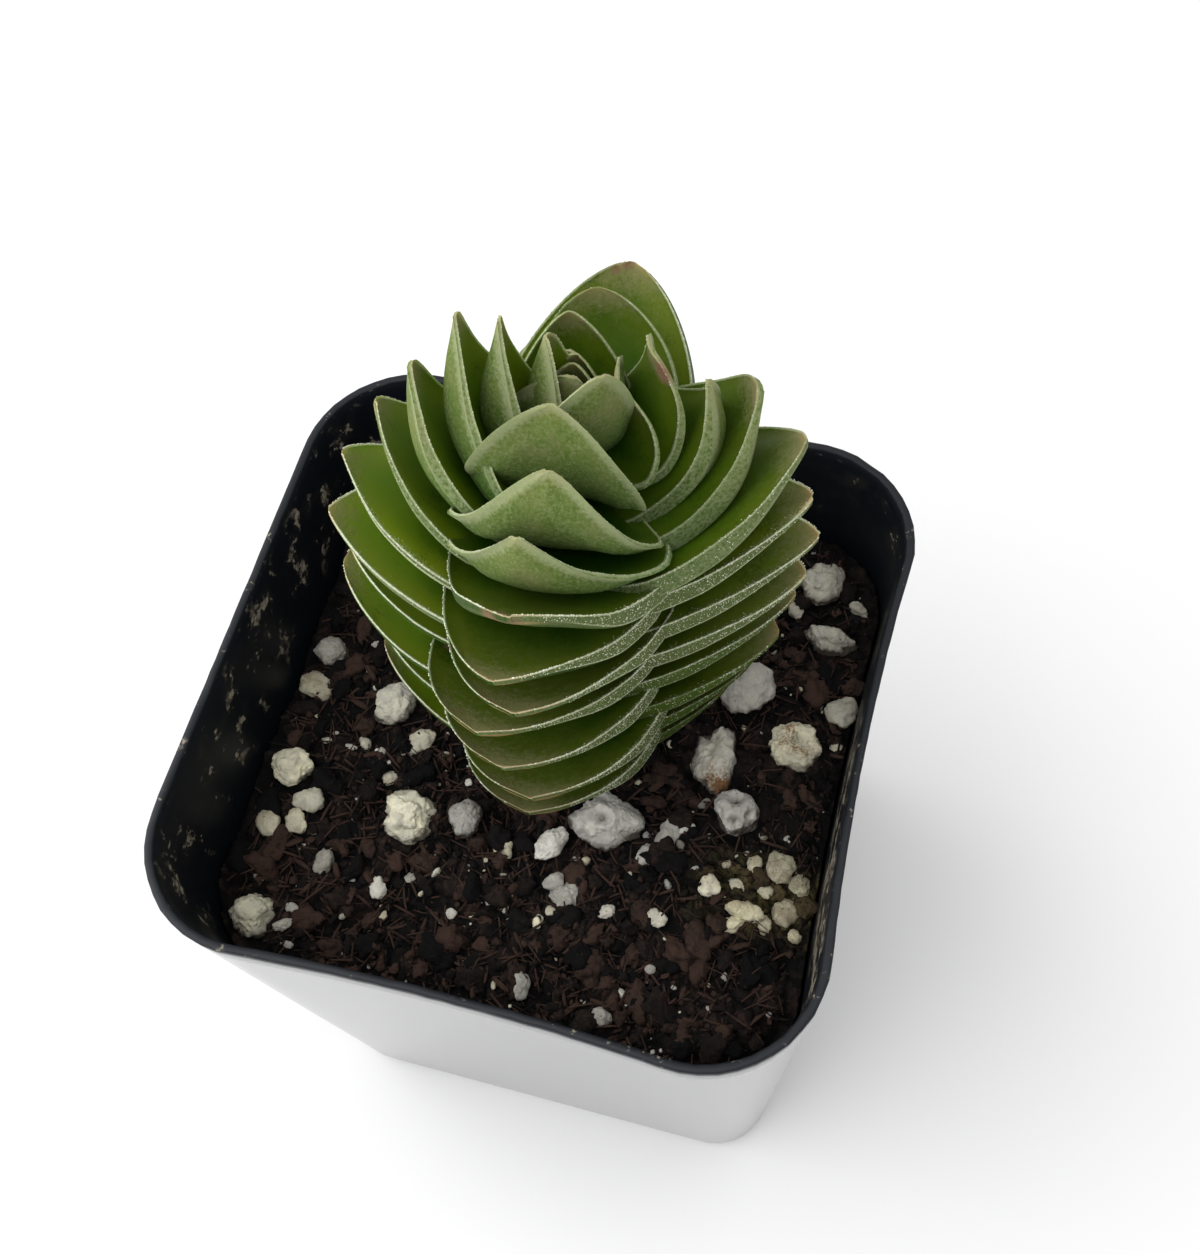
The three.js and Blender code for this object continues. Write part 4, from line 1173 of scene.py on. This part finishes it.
class SUCCULENT_OT_pot(Operator):
    """Builds the square nursery pot with its rounded lip and drain holes"""

    bl_idname = "succulent.pot"
    bl_label = "Pot"

    def execute(self, context):
        pot = context.scene.succulent_pot
        top, wall, floor, lip = (size / MM for size in (pot.height, pot.wall, pot.floor, pot.lip))
        brim, rim_half, base_half = top - LIP_RISE, pot_half(top, pot), pot_half(0, pot)
        outer = [(pot_half(level, pot), level) for level in (brim, *OUTER_LEVELS)]
        foot = [(base_half - inset, rise) for inset, rise in FOOT_ROUNDING]
        swings = [math.pi * step / LIP_STEPS for step in range(1, LIP_STEPS)]
        rolled = [(rim_half - lip / 2 + lip / 2 * math.cos(s), brim + LIP_RISE * math.sin(s)) for s in swings]
        inner = [(rim_half - lip, brim)] + [(pot_half(level, pot) - wall, level) for level in INNER_LEVELS]
        inner_foot = [(base_half - wall - inset, floor + rise) for inset, rise in INNER_FOOT_ROUNDING]
        profile = [(0, 0)] + foot[::-1] + outer[::-1] + rolled + inner + inner_foot + [(0, floor)]
        form = spun_square(profile, POT_STEPS, pot)
        for vert in form.verts:
            if vert.co.z > top - 1:
                wear = noise.noise(vert.co * 0.9) + 0.6 * noise.noise(vert.co * 2.3)
                vert.co.z -= LIP_WEAR[0] * abs(wear)
                vert.co.xy *= 1 + LIP_WEAR[1] * wear
        layers = {name: form.loops.layers.float.new(name) for name in ("inside", "height", "soiled")}
        for face in form.faces:
            middle = face.calc_center_median()
            inward = face.normal.x * middle.x + face.normal.y * middle.y < 0 and middle.z > floor
            for loop in face.loops:
                loop[layers["inside"]] = float(inward)
                loop[layers["height"]] = loop.vert.co.z
                loop[layers["soiled"]] = soiling(middle.x, middle.y)
        made = piece("nursery_pot", form, plastic_material(pot), ["pot"], sharp=50)
        holes = bmesh.new()
        offset, radius = pot.drain_offset / MM, pot.drain_radius / MM
        for x in (-offset, offset):
            for y in (-offset, offset):
                add_rod(holes, HOLE_STEPS, (radius, radius), 4 * floor, Matrix.Translation((x, y, 0)))
        cut(made, holes)
        return {"FINISHED"}


class SUCCULENT_OT_soil(Operator):
    """Builds the bed of potting soil with its lumpy surface"""

    bl_idname = "succulent.soil"
    bl_label = "Soil"

    def execute(self, context):
        pot, soil = context.scene.succulent_pot, context.scene.succulent_soil
        form = bmesh.new()
        bmesh.ops.create_grid(form, x_segments=BED_CELLS, y_segments=BED_CELLS, size=1)
        reach = pot_half(SOIL_LEVEL, pot) - pot.wall / MM - SEAT_GAP
        for vert in form.verts:
            ring = max(abs(vert.co.x), abs(vert.co.y))
            if ring > 1e-6:
                square_up(vert, ring * reach, pot_corner(reach, SOIL_LEVEL, pot) * ring, SOIL_LEVEL, pot)
            vert.co.z = crumbled_height(vert.co.x, vert.co.y, soil.relief / MM)
        gap, tone, moss = (form.verts.layers.float.new(name) for name in ("gap", "tone", "moss"))
        # The gap mark paints shade: darker in the gaps between the clods and in the low places of the bed
        for vert in form.verts:
            high, vert_gap = clod_form(vert.co.x, vert.co.y)
            vert[gap] = min(1, vert_gap * 1.3 + 0.8 * smooth(high, 0.55, 0.2))
            vert[tone] = 0.25 + 0.5 * high
            vert[moss] = mossy_share(vert.co.x, vert.co.y)
        rim = [edge for edge in form.edges if edge.is_boundary]
        last = 1
        for level in (*BED_LEVELS, pot.floor / MM + SEAT_GAP):
            made = bmesh.ops.extrude_edge_only(form, edges=rim)
            ring = [item for item in made["geom"] if isinstance(item, bmesh.types.BMVert)]
            rim = [item for item in made["geom"] if isinstance(item, bmesh.types.BMEdge)]
            shrink = (pot_half(level, pot) - pot.wall / MM - SEAT_GAP) / reach
            for vert in ring:
                vert.co.x *= shrink / last
                vert.co.y *= shrink / last
                vert.co.z = level
            last = shrink
        bmesh.ops.edgeloop_fill(form, edges=rim)
        bmesh.ops.recalc_face_normals(form, faces=form.faces)
        made = piece("soil_bed", form, soil_material(soil, "damp_peat"), ["soil"])
        hole = bmesh.new()
        radii = (STEM_RADIUS + SEAT_GAP, STEM_RADIUS + 2 * SEAT_GAP)
        middle = stem_frame(STEM_FOOT.z) @ Matrix.Translation((0, 0, STEM_HOLE_DEPTH / 2 - SEAT_GAP))
        add_rod(hole, HOLE_STEPS, radii, STEM_HOLE_DEPTH, middle)
        cut(made, hole)
        return {"FINISHED"}


def mossy_share(x, y):
    """How mossy the soil is: in the right front corner, from 0 to 1"""
    return smooth(x, 14, 18) * smooth(y, -5, -8) * smooth(y, -14.5, -12)


def strewn(rng, keep_clear):
    """A place on the soil clear of the stem and the wall, and of the stones where asked"""
    while True:
        x, y = (rng.uniform(-STREWN_HALF, STREWN_HALF) for _ in range(2))
        corner = math.hypot(max(abs(x) - STREWN_CORNER, 0), max(abs(y) - STREWN_CORNER, 0))
        if corner > STREWN_ROUNDING or math.hypot(x - STEM_FOOT.x, y - STEM_FOOT.y) < STREWN_FROM_STEM:
            continue
        stones = (*CHUNKS.values(), *PEBBLES)
        if not any(math.hypot(x - c[0], y - c[1]) < keep_clear * c[2] / 2 for c in stones):
            return x, y


def lump(rng, x, y, size, relief, sunk, roughness, lumps=0.0):
    """A stone or clod of a random form that lies on the soil"""
    sizes = (size * rng.uniform(0.9, 1.5), size * rng.uniform(0.75, 1.1), size * rng.uniform(0.55, 0.9))
    wobble = [rng.uniform(0, 6.28) for _ in range(3)]
    place = (x, y, crumbled_height(x, y, relief) + (0.5 - sunk) * sizes[2])
    return Stone(place, sizes, rng.uniform(0, 360), wobble, roughness, lumps, rng.uniform(0, 40))


def loose_bit(rng, relief, clear, smallest, spread, rarity, **form):
    """A strewn stone or clod, after its place and size"""
    x, y = strewn(rng, clear)
    size = smallest + spread * rng.random() ** rarity
    return x, y, size, lump(rng, x, y, size, relief, **form)


class SUCCULENT_OT_crumbs(Operator):
    """Strews clods, crumbs, bark fibres and pale grains over the soil"""

    bl_idname = "succulent.crumbs"
    bl_label = "Clods, fibres and grit"

    def execute(self, context):
        soil, pumice = context.scene.succulent_soil, context.scene.succulent_pumice
        rng = random.Random(STREWN_SEED)
        relief = soil.relief / MM
        marks = ("tone", "moss", "gap")
        tiny, small, medium, fine = (ball(detail) for detail in (1, 2, 3, 4))
        strip = bar()

        def crumb(pattern, kind):
            x, y, _, made = loose_bit(rng, relief, **kind)
            return pattern, made, (rng.random(), mossy_share(x, y) * rng.random(), 0)

        def fibre(flake):
            x, y = strewn(rng, 1.0)
            run = rng.uniform(0.7, 3.2)
            thick = rng.uniform(0.05, 0.14)
            sizes = (run, thick * rng.uniform(1, 2.2), thick)
            if flake:
                sizes = (0.7 * run, rng.uniform(0.3, 0.8), 0.14)
            tilt = (rng.uniform(-0.5, 0.5), rng.uniform(-0.4, 0.4), rng.uniform(0, 6.28))
            place = (x, y, crumbled_height(x, y, relief) + 0.12 + 0.45 * rng.random())
            made = Fibre(place, sizes, rng.uniform(-0.35, 0.35) * run, tilt)
            return strip, made, (rng.uniform(0.3, 1.5), 0, 0)

        def grain():
            _, _, size, made = loose_bit(rng, relief, **GRAIN)
            return small if size < 0.6 else medium, made, (rng.random() ** 2, 0, rng.uniform(0.2, 0.9), 0)

        def pebble(x, y, size, warmth, dirt):
            return fine, lump(rng, x, y, size, relief, **PEBBLE), (warmth, 0, dirt, 0.3 * warmth)

        form = joined([crumb(medium, CLOD) for _ in range(soil.clods)], marks)
        # The clods' gap mark paints shade low down, where they meet the bed
        gap = form.verts.layers.float["gap"]
        for vert in form.verts:
            vert[gap] = smooth(vert.co.z - crumbled_height(vert.co.x, vert.co.y, relief), 0.25, -0.2)
        piece("soil_clods", form, soil_material(soil, "peat_clods"))

        form = joined([crumb(tiny, CRUMB) for _ in range(soil.crumbs)], marks)
        piece("soil_crumbs", form, soil_material(soil, "peat_crumbs"))

        form = joined([fibre(index % FLAKE_EVERY == 0) for index in range(soil.fibres)], marks)
        piece("bark_fibres", form, soil_material(soil, "bark"))

        stones = [grain() for _ in range(soil.grit)] + [pebble(*values) for values in PEBBLES]
        form = joined(stones, PUMICE_MARKS)
        piece("pumice_grit", form, pumice_material(pumice, "grit_stone"))
        for pattern in (tiny, small, medium, fine, strip):
            bpy.data.meshes.remove(pattern)
        return {"FINISHED"}


class SUCCULENT_OT_pumice(Operator):
    """Builds the larger pumice chunks"""

    bl_idname = "succulent.pumice"
    bl_label = "Pumice chunks"

    def execute(self, context):
        settings = context.scene.succulent_pumice
        material = pumice_material(settings, "pumice_stone")
        pattern = ball(6)
        for index, (name, (x, y, long, wide, high, turn, warmth, dirt)) in enumerate(CHUNKS.items()):
            source = draws(CHUNK_SEED + index)
            wobble = [next(source) * 2 * math.pi for _ in range(3)]
            place = (x, y, soil_height(x, y) + (0.5 - CHUNK_SINK) * high)
            stone = Stone(
                place, (long, wide, high), turn, wobble, CHUNK_ROUGHNESS, settings.lumps, 3 + index,
                DENTS.get(name, ()),
            )
            form = joined([(pattern, stone, (warmth, 0, dirt, 0))], PUMICE_MARKS)
            low, rusty = (form.verts.layers.float[key] for key in ("low", "rusty"))
            home = stone.place.inverted()
            rust = Vector(RUST.get(name, (0, 0, 0))).normalized()
            for vert in form.verts:
                way = home @ vert.co
                way = Vector(a / b for a, b in zip(way, stone.halves)).normalized()
                # Painted shade in the dents, and a darkening towards the foot
                dips = (smooth((way - dent).length, wide, 0.2 * wide) * deep for dent, wide, deep in stone.dents)
                foot = 1 - smooth(vert.co.z - soil_height(x, y), 0, 0.4 * high)
                vert[low] = max(foot, 1.2 * max(dips, default=0))
                vert[rusty] = smooth(way.dot(rust), 0.45, 0.9)
            piece("chunk_" + name, form, material, ["pumice_" + name])
        bpy.data.meshes.remove(pattern)
        return {"FINISHED"}


class SUCCULENT_OT_leaves(Operator):
    """Builds the stem and its four ranks of leaves"""

    bl_idname = "succulent.leaves"
    bl_label = "Stem and leaves"

    def execute(self, context):
        settings = context.scene.succulent_leaf
        material = leaf_material(settings)
        template = unit_blade(*BLADE_CELLS)
        rng = random.Random(LEAF_SEED)
        form = bmesh.new()
        add_stem(form)
        form.loops.layers.float.new("margin")
        form.loops.layers.float.new("under")
        layers = [form.verts.layers.float.new(name) for name in BLADE_MARKS]
        for vert in form.verts:
            vert[layers[BLADE_MARKS.index("inset")]] = STEM_RADIUS
        for blade in blades(settings):
            add_blade(form, template, blade, rng, layers)
        piece("stem_and_leaves", form, material, ["leafy_stem"], sharp=42)
        bpy.data.meshes.remove(template)
        return {"FINISHED"}


class Bead:
    """A papilla: where each point of a unit ball goes"""

    def __init__(self, place, radius):
        self.place = place
        self.radius = radius

    def point(self, spot):
        return self.place + self.radius * spot


def beaded(blade, rng, radius):
    """Papillae of one leaf: along the rim, and on broad margins also over the flank and the face beside it"""
    beads = []
    run = BEADED_LENGTH * blade.long
    for sign in (-1, 1):
        broad = blade.broad * float(sign == BROAD_SIDE[blade.side]) * (1 - blade.young)
        for _ in range(int(run * lerp(*RIM_BEADS, blade.young) * (1 - blade.faint))):
            share = 1 - 0.75 * rng.random() ** 1.1
            size = radius * rng.uniform(0.45, 1.15) * lerp(1, 0.55, blade.young)
            place = blade.point(share, sign * rng.uniform(0.99, 1.002), rng.uniform(-0.02, 0.06))
            beads.append(Bead(place, size))
        for _ in range(int(run * blade.flank * FLANK_BEADS * broad * blade.thin)):
            share = rng.uniform(0.35, 0.97)
            beads.append(Bead(blade.point(share, sign, rng.random() ** 1.4), radius * rng.uniform(0.3, 0.75)))
        for _ in range(int(run * FACE_BEADS * broad * SPILLED[blade.side])):
            share = min(max(rng.gauss(0.74, 0.13), 0.4), 0.98)
            inwards = min(rng.expovariate(3.5), 1) / blade.width(share)
            beads.append(Bead(blade.point(share, sign * (1 - inwards), 0), radius * rng.uniform(0.35, 0.8)))
    return beads


class SUCCULENT_OT_papillae(Operator):
    """Sets the pale papillae on the margins of the leaves"""

    bl_idname = "succulent.papillae"
    bl_label = "Papillae"

    def execute(self, context):
        settings = context.scene.succulent_leaf
        rng = random.Random(PAPILLA_SEED)
        form = bmesh.new()
        bmesh.ops.create_uvsphere(form, u_segments=4, v_segments=2, radius=1)
        pattern = stored(form)
        beads = [bead for blade in blades(settings) for bead in beaded(blade, rng, settings.bead / MM)]
        form = joined([(pattern, bead, ()) for bead in beads], ())
        piece("margin_papillae", form, papilla_material(settings))
        bpy.data.meshes.remove(pattern)
        return {"FINISHED"}


class SUCCULENT_OT_stage(Operator):
    """Lays the pale floor, hangs the soft lights and sets the camera"""

    bl_idname = "succulent.stage"
    bl_label = "Stage, lights and camera"

    def execute(self, context):
        settings = context.scene.succulent_stage
        scene = context.scene
        form = bmesh.new()
        bmesh.ops.create_grid(form, x_segments=1, y_segments=1, size=FLOOR_HALF)
        floor = added("floor", stored(form, "floor"))
        floor.data.materials.append(floor_material(settings))
        for name, power, (size, place) in (
            ("key_light", settings.key, KEY_LIGHT),
            ("fill_light", settings.fill, FILL_LIGHT),
        ):
            light = bpy.data.lights.new(name, "AREA")
            light.energy = power
            light.shape = "SQUARE"
            light.size = size
            lamp = added(name, light)
            lamp.location = place
            lamp.rotation_euler = (LIGHT_AIM - Vector(place)).to_track_quat("-Z", "Y").to_euler()
        scene.world = bpy.data.worlds.new("surroundings")
        scene.world.use_nodes = True
        background = scene.world.node_tree.nodes["Background"].inputs
        background["Color"].default_value = (1, 1, 1, 1)
        background["Strength"].default_value = settings.ambient
        lens = bpy.data.cameras.new("camera")
        lens.lens = CAMERA_LENS
        lens.sensor_width = CAMERA_SENSOR
        lens.clip_start = NEAREST_SEEN
        scene.camera = added("camera", lens)
        turn = Matrix((CAMERA_RIGHT, CAMERA_UP, -CAMERA_AHEAD)).transposed()
        scene.camera.matrix_world = Matrix.Translation(CAMERA_PLACE) @ turn.to_4x4()
        scene.view_settings.view_transform = "Standard"
        return {"FINISHED"}


class SUCCULENT_PT_panel(Panel):
    """Lists the pieces in the sidebar"""

    bl_idname = "SUCCULENT_PT_panel"
    bl_label = "Potted Column Succulent"
    bl_space_type = "VIEW_3D"
    bl_region_type = "UI"
    bl_category = "Succulent"

    def draw(self, context):
        for operator in OPERATORS:
            self.layout.operator(operator.bl_idname)


OPERATORS = (
    SUCCULENT_OT_pot,
    SUCCULENT_OT_soil,
    SUCCULENT_OT_crumbs,
    SUCCULENT_OT_pumice,
    SUCCULENT_OT_leaves,
    SUCCULENT_OT_papillae,
    SUCCULENT_OT_stage,
)
GROUPS = {
    "succulent_pot": PotSettings,
    "succulent_soil": SoilSettings,
    "succulent_pumice": PumiceSettings,
    "succulent_leaf": LeafSettings,
    "succulent_stage": StageSettings,
}


def register():
    """Registers the settings, the operators and the panel"""
    for group in GROUPS.values():
        bpy.utils.register_class(group)
    for name, group in GROUPS.items():
        setattr(bpy.types.Scene, name, PointerProperty(type=group))
    for operator in OPERATORS:
        bpy.utils.register_class(operator)
    bpy.utils.register_class(SUCCULENT_PT_panel)


def unregister():
    """Takes them away again"""
    bpy.utils.unregister_class(SUCCULENT_PT_panel)
    for operator in reversed(OPERATORS):
        bpy.utils.unregister_class(operator)
    for name in GROUPS:
        delattr(bpy.types.Scene, name)
    for group in reversed(GROUPS.values()):
        bpy.utils.unregister_class(group)


def main():
    """Builds every piece"""
    register()
    for operator in OPERATORS:
        getattr(bpy.ops.succulent, operator.bl_idname.split(".")[1])()


if __name__ == "__main__":
    main()
